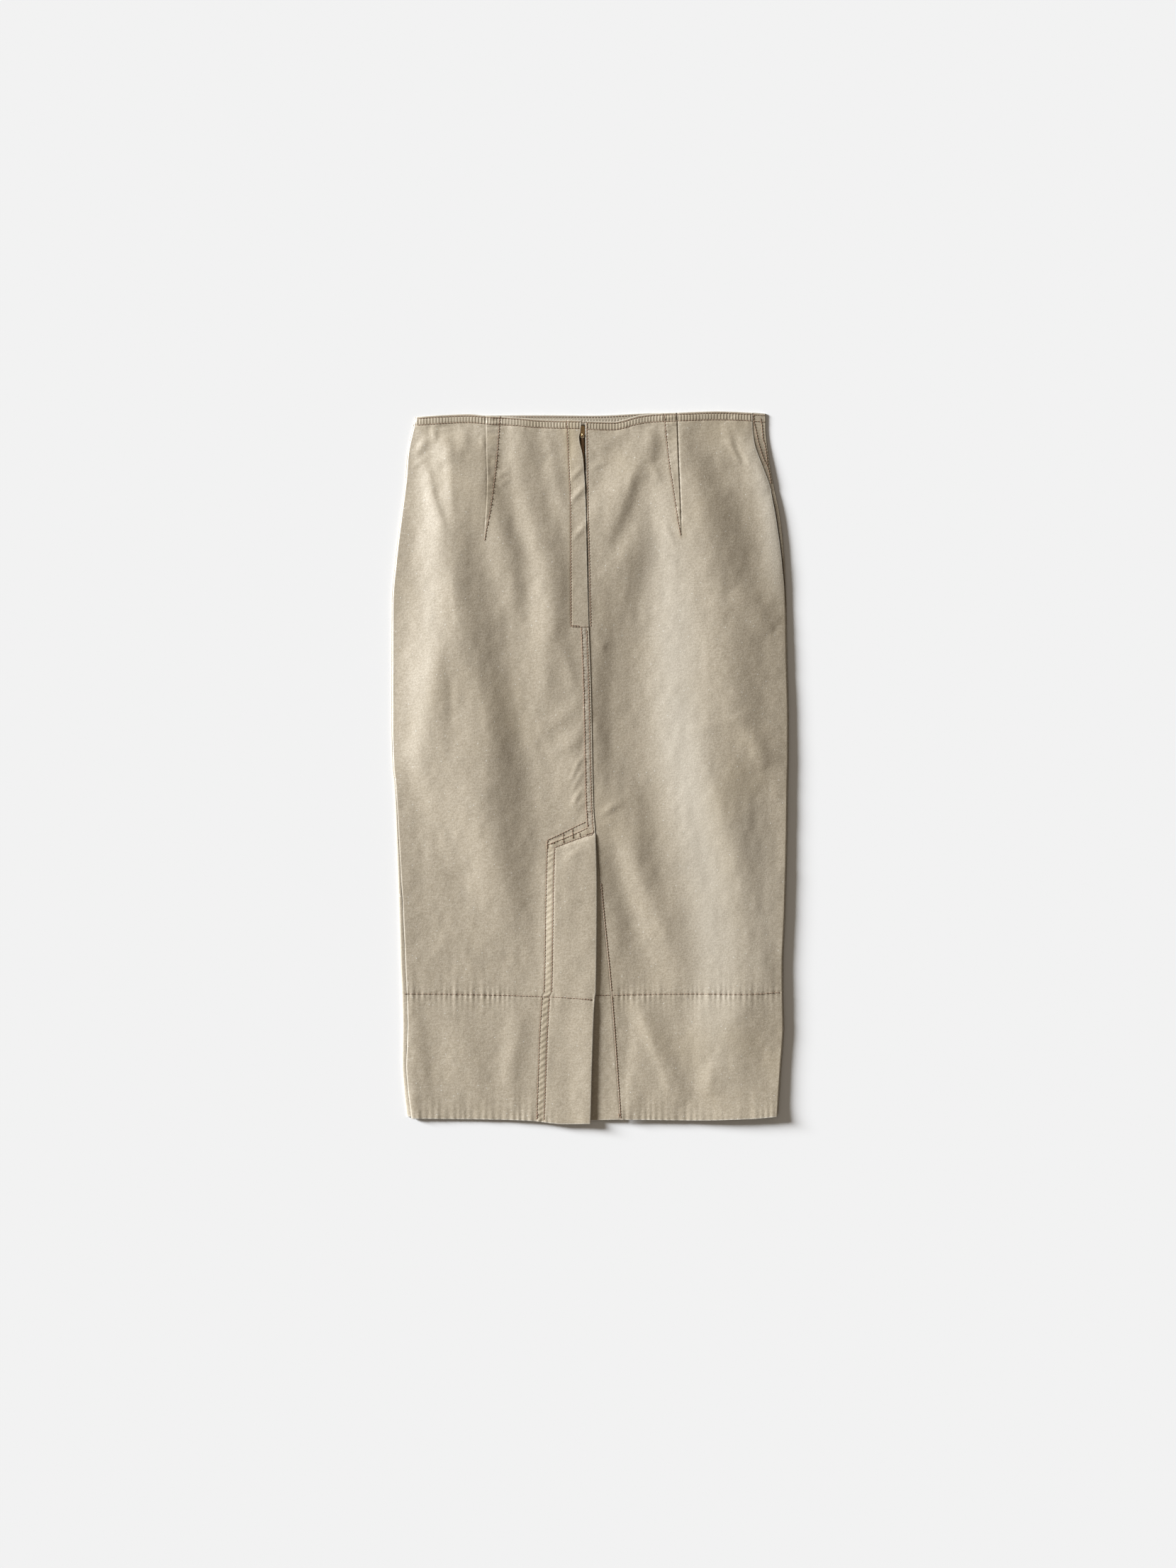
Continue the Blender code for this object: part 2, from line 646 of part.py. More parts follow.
def back_piece(name, side, upper, lower, rows):
    """A back panel or band between two lines, each giving the way down for a place across."""
    shares = SIDE_SHARES + list(np.linspace(SIDE_SHARES[-1], 1, PANEL_COLUMNS - len(SIDE_SHARES) + 1)[1:])
    grid = np.zeros((rows, len(shares), 3))
    for j, share in enumerate(shares):
        across_top = back_section(float(upper(0.0)), side, shares)[j, 0]
        first = float(upper(across_top))
        across_low = back_section(float(lower(0.0)), side, shares)[j, 0]
        last = float(lower(across_low))
        for i, down in enumerate(between(first, last, rows)):
            across, height = back_section(down, side, shares)[j]
            grid[i, j] = (across, down, height)
    return wall(name, grid, KHAKI, inward=1 if side < 0 else -1)


def front_piece(name, upper, lower, rows):
    """The front, lying on the floor and turned up round both sides as far as the side seams."""
    wrap = list(np.linspace(0, 1, WRAP_COLUMNS))
    floor = list(np.linspace(0, 1, FLOOR_COLUMNS + 1))[1:-1]

    def section(down):
        left = wrap_section(down, -1, wrap)[::-1]
        right = wrap_section(down, 1, wrap)
        lying = [left[-1] + (right[0] - left[-1]) * share for share in floor]
        return np.concatenate([left, np.array(lying), right])

    columns = 2 * WRAP_COLUMNS + FLOOR_COLUMNS - 1
    grid = np.zeros((rows, columns, 3))
    first = section(float(upper(0.0)))
    final = section(float(lower(0.0)))
    for j in range(columns):
        start, end = float(upper(first[j, 0])), float(lower(final[j, 0]))
        for i, down in enumerate(between(start, end, rows)):
            across, height = section(down)[j]
            grid[i, j] = (across, down, height)
    return wall(name, grid, KHAKI_INSIDE, inward=-1)


def line(rows, shift=0.0):
    """A line across the skirt as a function: the way down for a place across."""
    return lambda across: read(rows, "down", across, by="across") + shift


def underlay_piece(name, upper, lower, rows):
    """The vent's underlay: low at its hidden edge, close under the flap, level with the right panel."""

    def lines_at(down):
        flap = float(lap_edge(down))
        seam = float(right_centre_edge(down)) - SEAM_GAP
        open_start = seam - max(UNDERLAY_OPEN, seam - flap)
        return [flap - UNDERLAY_WIDTH, open_start - UNDERLAY_RISE, open_start, seam], flap

    def across_at(down, share):
        lines = lines_at(down)[0]
        return float(np.interp(share, range(len(lines)), lines))

    def height_at(down, share):
        (_, _, open_start, seam), flap = lines_at(down)
        under = float(top_height(open_start, down, -1)) - CLOTH - FLAP_GAP
        level = float(shell_height(seam, down, 1))
        low = min(level, under)
        open_share = min(1.0, (seam - flap) / UNDERLAY_OPEN)
        beside = low + (level - low) * open_share * open_share * (3 - 2 * open_share)
        start, end = (UNDERLAY_TOP, under) if share < 2 else (under, beside)
        t = min(1.0, max(0.0, share - 1 if share < 2 else share - 2))
        return start + (end - start) * t * t * (3 - 2 * t)

    def down_at(border, share):
        down = float(border(0.0))
        for _ in range(BORDER_PASSES):
            down = float(border(across_at(down, share)))
        return down

    grid = np.zeros((rows, len(UNDERLAY_SHARES), 3))
    for j, share in enumerate(UNDERLAY_SHARES):
        first, last = down_at(upper, share), down_at(lower, share)
        for i, down in enumerate(between(first, last, rows)):
            grid[i, j] = (across_at(down, share), down, height_at(down, share))
    return wall(name, grid, KHAKI)


def facing_piece(name):
    """The front's turned-down waist edge, seen past the lower back waist."""
    top = line(WAIST_FRONT)
    left = float(left_edge(FACING_MIDDLE)) + FACING_INSET
    right = float(right_edge(FACING_MIDDLE)) - FACING_INSET
    grid = np.zeros((2, FACING_COLUMNS, 3))
    for j, across in enumerate(np.linspace(left, right, FACING_COLUMNS)):
        for i, depth in enumerate((0.0, FACING_DEPTH)):
            grid[i, j] = (across, float(top(across)) + depth, CLOTH + SEAM_GAP + CLOTH)
    return wall(name, grid, KHAKI_INSIDE)


def zip_across(down):
    share = (down - TAPE_START) / (TAPE_END - TAPE_START)
    return ZIP_TOP_ACROSS + (ZIP_END_ACROSS - ZIP_TOP_ACROSS) * share


def zip_strip(name, start, end, width, bottom, thick, colour, roughness, metallic):
    """A flat strip along the zip's line."""
    builder = bmesh.new()
    corners = []
    for down in (start, end):
        for side in (-1, 1):
            corners.append((zip_across(down) + side * width / 2, down))
    ring = [corners[0], corners[1], corners[3], corners[2]]
    low = [builder.verts.new(place(a, d, bottom)) for a, d in ring]
    face = builder.faces.new(low)
    raised = bmesh.ops.extrude_face_region(builder, geom=[face])["geom"]
    lifted = [v for v in raised if isinstance(v, bmesh.types.BMVert)]
    bmesh.ops.translate(builder, verts=lifted, vec=(0, 0, thick * MM))
    return add_object(name, builder, colour, roughness, metallic)


def prism(outline, push):
    """A solid from a closed outline of points, pushed along a vector."""
    builder = bmesh.new()
    face = builder.faces.new([builder.verts.new(p) for p in outline])
    raised = bmesh.ops.extrude_face_region(builder, geom=[face])["geom"]
    lifted = [v for v in raised if isinstance(v, bmesh.types.BMVert)]
    bmesh.ops.translate(builder, verts=lifted, vec=push)
    return builder


def combine(kept, other, operation):
    """A Boolean on an object, with the other one kept as a hidden cutter."""
    other.hide_render = True
    other.display_type = "WIRE"
    step = kept.modifiers.new(operation.title(), "BOOLEAN")
    step.operation = operation
    step.solver = "EXACT"
    step.object = other


def zip_slider():
    """The slider's body with its crown, which arches over the bar of the pull."""
    middle = zip_across(HINGE_DOWN)
    half = SLIDER_WIDTH / 2
    nose, tail = half * SLIDER_NOSE, half * SLIDER_TAIL
    outline = [
        (-nose, SLIDER_START),
        (nose, SLIDER_START),
        (half, SLIDER_START + SLIDER_SHOULDER),
        (tail, SLIDER_END),
        (-tail, SLIDER_END),
        (-half, SLIDER_START + SLIDER_SHOULDER),
    ]
    body = prism([place(middle + a, d, SLIDER_BOTTOM) for a, d in outline],
                 (0, 0, (SLIDER_TOP - SLIDER_BOTTOM) * MM))
    slider = add_object("zip_slider", body, GOLD, METAL_ROUGHNESS, 1.0)
    foot = SLIDER_TOP - CROWN_SINK - HINGE_HEIGHT
    turns = [math.pi * k / ARCH_STEPS for k in range(ARCH_STEPS + 1)]
    arch = [(CROWN_OUTER, foot)]
    arch += [(CROWN_OUTER * math.cos(t), CROWN_OUTER * math.sin(t)) for t in turns]
    arch += [(-CROWN_OUTER, foot), (-CROWN_INNER, foot)]
    arch += [(-CROWN_INNER * math.cos(t), CROWN_INNER * math.sin(t)) for t in turns]
    arch += [(CROWN_INNER, foot)]
    left = middle - CROWN_WIDTH / 2
    crown = prism([place(left, HINGE_DOWN + d, HINGE_HEIGHT + h) for d, h in arch],
                  (CROWN_WIDTH * MM, 0, 0))
    combine(slider, add_object("crown_form", crown, GOLD, METAL_ROUGHNESS, 1.0), "UNION")
    return slider


def zip_pull():
    """The pull: a round head with an eye, whose bar lies in the crown, and a narrow blade."""
    middle = zip_across(HINGE_DOWN)
    hinge = place(middle, HINGE_DOWN, HINGE_HEIGHT)
    half = PULL_THICK / 2
    centre = PULL_HEAD - half
    neck = math.asin(PULL_NECK / 2 / PULL_HEAD)
    outline = []
    for k in range(HEAD_STEPS + 1):
        angle = neck + (2 * math.pi - 2 * neck) * k / HEAD_STEPS
        outline.append((PULL_HEAD * math.sin(angle), centre + PULL_HEAD * math.cos(angle)))
    tip = PULL_LENGTH - PULL_TIP / 2
    outline.append((PULL_LEAN - PULL_TIP / 2, tip))
    outline.append((PULL_LEAN, PULL_LENGTH))
    outline.append((PULL_LEAN + PULL_TIP / 2, tip))

    def lying(across, along, height):
        turned = along * math.cos(PULL_DROP) + height * math.sin(PULL_DROP)
        lifted = height * math.cos(PULL_DROP) - along * math.sin(PULL_DROP)
        return hinge + Vector((across, -turned, lifted)) * MM

    push = lying(0, 0, PULL_THICK) - hinge
    plate = prism([lying(a, d, -half) for a, d in outline], push)
    pull = add_object("zip_pull", plate, COPPER, METAL_ROUGHNESS, 1.0, origin=hinge)
    eye = []
    for k in range(EYE_STEPS):
        angle = 2 * math.pi * k / EYE_STEPS
        eye.append((PULL_EYE_WIDTH / 2 * math.sin(angle),
                    half + PULL_EYE_LENGTH / 2 + PULL_EYE_LENGTH / 2 * math.cos(angle)))
    cutter = prism([lying(a, d, -2 * half) for a, d in eye], push * 2)
    combine(pull, add_object("eye_form", cutter, COPPER, METAL_ROUGHNESS, 1.0), "DIFFERENCE")
    return pull


def clear_scene():
    for old in list(bpy.data.objects):
        bpy.data.objects.remove(old, do_unlink=True)


def main():
    clear_scene()
    half_gap = SEAM_GAP / 2
    front_seam, left_seam, right_seam = (
        (line(seam, -half_gap), line(seam, half_gap))
        for seam in (BAND_SEAM_FRONT, BAND_SEAM_LEFT, BAND_SEAM_RIGHT)
    )
    front_piece("front_panel", line(WAIST_FRONT), front_seam[0], PANEL_ROWS)
    front_piece("front_hem_band", front_seam[1], line(HEM_FRONT), BAND_ROWS)
    back_piece("back_left_panel", -1, line(WAIST_BACK_LEFT), left_seam[0], PANEL_ROWS)
    back_piece("back_left_hem_band", -1, left_seam[1], line(HEM_LEFT), BAND_ROWS)
    back_piece("back_right_panel", 1, line(WAIST_BACK_RIGHT), right_seam[0], PANEL_ROWS)
    back_piece("back_right_hem_band", 1, right_seam[1], line(HEM_RIGHT), BAND_ROWS)
    underlay_piece("vent_underlay", line(VENT_TOP), right_seam[0], UNDERLAY_ROWS)
    underlay_piece("vent_underlay_band", right_seam[1], line(HEM_RIGHT), BAND_ROWS)
    facing_piece("front_waist_facing")
    zip_strip("zip_tape", TAPE_START, TAPE_END, TAPE_WIDTH, TAPE_BOTTOM, TAPE_THICK,
              TAPE_COLOUR, CLOTH_ROUGHNESS, 0.0)
    zip_strip("zip_chain", CHAIN_START, CHAIN_END, CHAIN_WIDTH, CHAIN_BOTTOM, CHAIN_THICK,
              GOLD, METAL_ROUGHNESS, 1.0)
    zip_slider()
    zip_pull()


main()
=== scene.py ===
# The long fitted skirt, lying flat with its back on top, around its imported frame.
# Sizes are in millimetres: "across" to the right of the middle, "down" from the waist's top.
# "side" is -1 for the left back and 1 for the right.
import math
import bmesh
import bpy
import numpy as np
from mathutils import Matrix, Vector


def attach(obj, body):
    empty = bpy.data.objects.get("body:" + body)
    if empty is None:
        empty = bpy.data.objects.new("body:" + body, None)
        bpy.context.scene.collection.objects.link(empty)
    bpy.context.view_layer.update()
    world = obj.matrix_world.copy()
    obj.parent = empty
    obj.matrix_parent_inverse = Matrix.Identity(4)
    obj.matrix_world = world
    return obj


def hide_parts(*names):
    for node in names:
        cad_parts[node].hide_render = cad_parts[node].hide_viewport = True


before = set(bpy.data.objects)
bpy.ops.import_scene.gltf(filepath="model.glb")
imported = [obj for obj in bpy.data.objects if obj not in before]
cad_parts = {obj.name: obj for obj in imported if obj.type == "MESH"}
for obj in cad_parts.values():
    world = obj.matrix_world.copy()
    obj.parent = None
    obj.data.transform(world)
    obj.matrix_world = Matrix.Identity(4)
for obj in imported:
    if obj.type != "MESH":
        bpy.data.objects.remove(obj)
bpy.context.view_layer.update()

mm = 0.001
skirtLength = 825.0

# camera, light and floor; the camera's height and the floor's size are in metres

shot = {
    "across": -1.9, "along": -18.8, "height": 4.006, "sensor": 36.0, "lens": 79.4,
    "sunRise": 14.5, "sunTurn": 22.0, "sunStrength": 10.41, "sunSoftness": 15.0,
    "sunColour": (0.969, 1.0, 1.037), "skyColour": (1.15, 1.0, 0.82), "skyStrength": 0.17,
    "floorColour": (0.888, 0.888, 0.888), "floorRoughness": 0.9, "floorSize": 6.0, "floorLevel": -0.05,
}


def addObject(name, data):
    added = bpy.data.objects.new(name, data)
    bpy.context.scene.collection.objects.link(added)
    return added


def setInputs(node, values):
    for name, value in values.items():
        node.inputs[name].default_value = value


def makeCamera():
    eye = bpy.data.cameras.new("shotCamera")
    eye.sensor_width = shot["sensor"]
    eye.lens = shot["lens"]
    camera = addObject("shotCamera", eye)
    camera.location = (shot["across"] * mm, shot["along"] * mm, shot["height"])
    bpy.context.scene.camera = camera


def makeLight():
    sun = bpy.data.lights.new("studioSun", "SUN")
    sun.energy = shot["sunStrength"]
    sun.color = shot["sunColour"]
    sun.angle = math.radians(shot["sunSoftness"])
    rise, turn = math.radians(shot["sunRise"]), math.radians(shot["sunTurn"])
    towards = Vector((-math.cos(turn) * math.cos(rise), math.sin(turn) * math.cos(rise), math.sin(rise)))
    addObject("studioSun", sun).rotation_euler = towards.to_track_quat("Z", "Y").to_euler()
    world = bpy.data.worlds.new("studioAir")
    world.use_nodes = True
    setInputs(world.node_tree.nodes["Background"],
              {"Color": (*shot["skyColour"], 1), "Strength": shot["skyStrength"]})
    bpy.context.scene.world = world


def makeFloor():
    half, level = shot["floorSize"] / 2, shot["floorLevel"] * mm
    mesh = bpy.data.meshes.new("studioFloor")
    corners = [(-half, -half, level), (half, -half, level), (half, half, level), (-half, half, level)]
    mesh.from_pydata(corners, [], [(0, 1, 2, 3)])
    paint = bpy.data.materials.new("floorPaint")
    paint.use_nodes = True
    setInputs(paint.node_tree.nodes["Principled BSDF"], {
        "Base Color": (*shot["floorColour"], 1), "Roughness": shot["floorRoughness"],
        "Specular IOR Level": 0.0})
    mesh.materials.append(paint)
    addObject("studioFloor", mesh)


bpy.context.scene.view_settings.view_transform = "Standard"
makeCamera()
makeLight()
makeFloor()
print("camera, light and floor made")

# the form all the cloth follows

outline = {
    "down": [0, 16, 51, 78, 123, 172, 221, 280, 360, 395, 443, 478, 578, 644, 668, 711, 754, 782, 825],
    "left": [-200, -204.4, -211.6, -213.6, -219.3, -225.2, -229.2, -229.5, -229.6, -229, -225.8, -224.4,
             -220.7, -218.8, -217.8, -216.9, -217.2, -215.2, -210.3],
    "right": [204, 204, 207.6, 212.0, 221.0, 226, 228, 229, 230.8, 230.8, 229.8, 229.4, 227, 224.4, 224.4,
              225.4, 222.6, 220.6, 217.8],
}
# ribs of the top face: lines down the skirt, each with its place across and its height
ribs = [
    {   # left edge; its place across is the outline's
        "down": [0, 60, 100, 150, 200, 300, 420, 480, 520, 620, 660, 700, 760, 825],
        "height": [2.5, 2.5, 2.6, 3.2, 3.4, 3.1, 2.9, 3.0, 3.4, 3.6, 3.5, 3.1, 2.8, 2.0],
    },
    {   # where the left hip starts to rise
        "down": [0, 50, 100, 150, 200, 250, 300, 350, 400, 450, 500, 550, 600, 650, 700, 750, 825],
        "across": [-190, -199, -203, -207, -209, -214, -216, -216, -215, -207, -200, -196, -194, -198, -203,
                   -202, -198],
        "height": [3.7, 3.3, 3.5, 3.9, 4.1, 4.4, 4.5, 4.5, 4.5, 3.4, 3.2, 3.0, 3.0, 3.5, 3.7, 3.8, 4.2],
    },
    {   # where the left hip is up
        "down": [0, 20, 35, 50, 75, 100, 150, 200, 250, 300, 350, 400, 450, 500, 550, 600, 650, 700, 825],
        "across": [-172, -172, -172, -172, -172, -170, -167, -163, -164, -173, -178, -191, -178, -160, -152,
                   -150, -160, -160, -160],
        "height": [4.0, 4.1, 5.5, 6.8, 7.8, 8.9, 10.5, 11.1, 11.8, 11.9, 10.3, 8.4, 6.7, 5.4, 3.7, 3.4, 3.4,
                   3.2, 3.8],
    },
    {   # crest over the long fold
        "down": [0, 20, 35, 50, 75, 100, 125, 150, 175, 200, 250, 300, 350, 400, 450, 500, 550, 600, 650,
                 825],
        "across": [-158, -158, -158, -158, -158, -157, -155, -154, -156, -157, -149, -142, -123, -120, -121,
                   -113, -99, -88, -84, -84],
        "height": [4.2, 4.3, 6.3, 8.6, 9.9, 10.8, 11.0, 10.9, 11.1, 11.6, 12.8, 12.8, 12.2, 11.9, 11.6, 9.9,
                   7.5, 4.8, 3.6, 3.8],
    },
    {   # foot of the long fold
        "down": [0, 20, 50, 100, 125, 150, 175, 200, 225, 250, 300, 350, 400, 450, 500, 550, 600, 650, 825],
        "across": [-130, -130, -128, -128, -126, -125, -121, -112, -104, -93, -88, -80, -70, -61, -58, -61,
                   -63, -64, -64],
        "height": [4.7, 5.2, 7.8, 10.7, 10.6, 9.7, 8.8, 8.4, 8.2, 8.1, 8.1, 7.8, 6.6, 6.1, 5.9, 5.1, 4.1,
                   3.8, 4.0],
    },
    {   # the low ridge beside the dart
        "down": [0, 50, 100, 125, 150, 175, 200, 225, 250, 300, 350, 400, 450, 500, 550, 600, 650, 825],
        "across": [-114, -114, -112, -109, -101, -94, -90, -88, -82, -78, -70, -60, -52, -49, -50, -51, -52,
                   -52],
        "height": [4.9, 6.9, 9.8, 10.7, 10.9, 10.0, 9.2, 8.6, 8.2, 8.3, 8.1, 6.9, 6.2, 5.9, 5.4, 4.4, 4.2,
                   4.2],
    },
    {   # the dip after it
        "down": [0, 25, 50, 75, 100, 125, 150, 175, 200, 225, 250, 300, 350, 400, 450, 500, 550, 600, 650,
                 825],
        "across": [-100, -100, -101, -95, -90, -85, -79, -73, -74, -74, -72, -66, -60, -50, -43, -40, -41,
                   -42, -43, -43],
        "height": [5.0, 5.8, 6.1, 6.9, 7.8, 8.8, 9.1, 8.9, 8.4, 8.2, 8.4, 8.9, 8.4, 7.1, 6.3, 6.0, 5.9, 5.2,
                   4.6, 4.3],
    },
    {   # ridge to the left of the zip
        "down": [0, 25, 50, 75, 100, 125, 150, 175, 200, 225, 250, 300, 350, 400, 450, 500, 550, 600, 650,
                 825],
        "across": [-80, -80, -80, -77, -72, -65, -57, -50, -46, -43, -44, -50, -46, -38, -33, -30, -30, -30,
                   -30, -30],
        "height": [5.1, 6.6, 7.4, 7.7, 8.7, 9.9, 10.9, 10.9, 10.8, 10.7, 10.8, 9.9, 8.4, 7.7, 6.6, 5.9, 5.3,
                   4.9, 4.6, 4.4],
    },
    {   # beside the zip's lap and the seam under it
        "down": [0, 25, 50, 75, 100, 125, 150, 200, 250, 300, 350, 400, 450, 500, 550, 600, 650, 700, 825],
        "across": [-56, -57, -46, -50, -48, -37, -24, -20, -20, -20, -20, -18, -17, -16, -15, -15, -15, -15,
                   -15],
        "height": [5.2, 5.7, 5.7, 6.4, 7.0, 7.9, 8.2, 8.3, 8.7, 8.9, 8.7, 8.4, 7.2, 6.1, 5.5, 5.2, 4.9, 4.7,
                   4.5],
    },
    {   # centre
        "down": [0, 31, 50, 75, 100, 125, 150, 200, 250, 300, 350, 400, 450, 500, 550, 600, 650, 700, 750,
                 825],
        "across": [-8, -8, -8, -6, -5, -3, -2, -1, 1, 2, 4, 6, 7, 9, 10, 10, 10, 9, 8, 6],
        "height": [5.8, 5.9, 6.0, 5.9, 6.7, 7.3, 7.5, 7.4, 7.5, 7.7, 8.0, 7.8, 7.2, 6.3, 5.4, 5.2, 5.0, 4.8,
                   4.6, 4.6],
    },
    {   # right of the centre
        "down": [0, 50, 75, 100, 125, 150, 200, 225, 250, 300, 350, 400, 450, 500, 550, 600, 650, 825],
        "across": [30, 34, 40, 40, 40, 40, 40, 34, 32, 28, 28, 30, 45, 50, 44, 54, 58, 60],
        "height": [5.2, 5.3, 6.0, 6.6, 7.0, 7.1, 6.3, 5.8, 5.4, 5.0, 5.3, 5.5, 6.2, 6.4, 5.2, 4.7, 4.6,
                   4.5],
    },
    {   # foot of the large ridge on the right
        "down": [0, 50, 75, 100, 125, 150, 175, 200, 225, 250, 300, 350, 400, 450, 500, 550, 600, 650, 700,
                 750, 825],
        "across": [72, 84, 65, 63, 68, 70, 69, 65, 62, 60, 58, 62, 62, 72, 80, 95, 114, 111, 107, 114, 124],
        "height": [4.9, 5.8, 7.1, 7.1, 7.0, 6.7, 5.7, 4.6, 4.2, 4.1, 4.0, 4.2, 4.5, 4.5, 4.4, 4.0, 4.1, 4.4,
                   4.5, 4.2, 4.3],
    },
    {   # halfway up it
        "down": [0, 50, 75, 100, 125, 150, 200, 250, 300, 400, 450, 500, 550, 600, 650, 700, 750, 825],
        "across": [88, 94, 90, 92, 98, 100, 104, 105, 105, 104, 115, 126, 138, 148, 150, 142, 142, 150],
        "height": [5.2, 6.3, 7.8, 9.5, 9.9, 9.7, 7.8, 7.4, 7.3, 7.5, 7.8, 6.9, 6.2, 6.1, 6.3, 6.7, 5.7,
                   4.6],
    },
    {   # crest of the large ridge
        "down": [0, 25, 50, 75, 100, 125, 150, 175, 200, 225, 250, 300, 340, 355, 370, 400, 450, 500, 550,
                 600, 650, 700, 750, 825],
        "across": [106, 103, 106, 115, 122, 129, 136, 141, 146, 150, 152, 158, 163, 158, 138, 140, 151, 165,
                   174, 178, 178, 172, 168, 180],
        "height": [5.5, 5.9, 7.1, 8.4, 10.4, 11.6, 11.8, 11.4, 10.6, 10.2, 10.1, 10.5, 10.1, 10.0, 9.8,
                   10.2, 10.8, 10.0, 8.6, 7.5, 7.6, 8.4, 6.6, 5.0],
    },
    {   # foot of its far side
        "down": [0, 25, 50, 75, 100, 125, 150, 175, 200, 225, 250, 300, 350, 400, 450, 500, 550, 600, 650,
                 700, 750, 825],
        "across": [130, 128, 142, 156, 176, 186, 192, 198, 203, 209, 206, 205, 208, 190, 205, 206, 206, 207,
                   206, 206, 206, 205],
        "height": [4.8, 4.4, 4.1, 3.8, 3.9, 4.4, 4.7, 4.9, 5.1, 5.4, 6.0, 6.2, 6.4, 8.1, 6.0, 6.0, 6.4, 6.0,
                   6.1, 6.2, 5.4, 5.3],
    },
    {   # right edge; its place across is the outline's
        "down": [0, 60, 95, 130, 165, 200, 250, 420, 675, 780, 825],
        "height": [1.8, 1.7, 2.1, 2.5, 2.8, 3.2, 3.8, 4.9, 5.4, 5.4, 5.3],
    },
]
sideSeams = {
    "down": [0, 36, 66, 88, 110, 166, 215, 240, 400, 430, 520, 600, 660, 705, 780, 825],
    "left": [0, 0, 0, 0, 0, 0, 0, 0, 0, 1.2, 2.8, 4.6, 5.4, 5.6, 4.0, 4.4],
    "right": [15.6, 14.6, 8.4, 4.6, 4.4, 2.6, 0.6, 0, 0, 0, 0, 0, 0, 0, 0, 0],
}
lapEdge = {
    "down": [10, 23, 29, 34, 42, 49, 60, 80, 109, 180, 249, 312, 457, 494, 554, 672, 680, 745, 825],
    "across": [-10, -10.4, -12, -11.8, -10.1, -8.4, -7, -5.6, -4.4, -2.8, -0.8, 1.6, 4.9, 7.2, 8.5, 7.3,
               6.0, 3.3, 1.1],
}
zipEdge = {
    "down": [11, 20, 55, 109, 180, 249, 312, 457, 488, 563, 672, 818, 825],
    "across": [-5.6, -4.9, -4.5, -3.7, -2.0, -0.4, 1.95, 5.25, 7.6, 13.9, 24.6, 35.1, 35.6],
}
centreLift = {
    "down": [0, 60, 250, 460, 520, 675, 825],
    "left": [0.9, 0.8, 0.45, 0.3, 1.5, 1.6, 1.2],
    "right": [0.4, 0.1, 0.3, 0.25, 0.8, 0.3, 0.4],
}
waistLeft = {
    "across": [-199, -165, -141, -120, -84, -62, -40, -10],
    "down": [6.3, 4.1, 3.3, 5.0, 7.1, 9.2, 9.9, 10.4],
}
waistRight = {
    "across": [-6, 29, 41, 57, 73, 100, 149, 189, 204],
    "down": [11.2, 12.0, 9.4, 4.9, 2.8, 1.7, 0.0, 1.4, 2.5],
}
waistFront = {
    "across": [-199, -165, -120, -55, 5, 73, 149, 189, 204],
    "down": [6.3, 5.0, 4.4, 4.1, 4.5, 1.8, 1.2, 1.4, 2.5],
}
bandSeamLeft = {"across": [-217, -174, -108, -52, 5], "down": [673.2, 673.6, 674.9, 676.5, 679.8]}
bandSeamRight = {"across": [-50, 7, 124, 178, 221], "down": [675.5, 675.0, 673.3, 673.8, 671.6]}
bandSeamFront = {"across": [-217, 221], "down": [673.2, 671.6]}
hemLeft = {
    "across": [-210, -172, -133, -100, -70, -30, 0],
    "down": [818.6, 819.2, 819.6, 820.2, 821.2, 825.0, 824.7],
}
hemRight = {"across": [-50, 2, 35, 125, 187, 217], "down": [820.8, 820.8, 820.0, 820.8, 818.9, 816.4]}
hemFront = {"across": [-210, -120, 120, 217], "down": [816.4, 815.6, 815.4, 813.4]}
ventTop = {"across": [-50, 4, 9], "down": [500.0, 489.0, 488.6]}

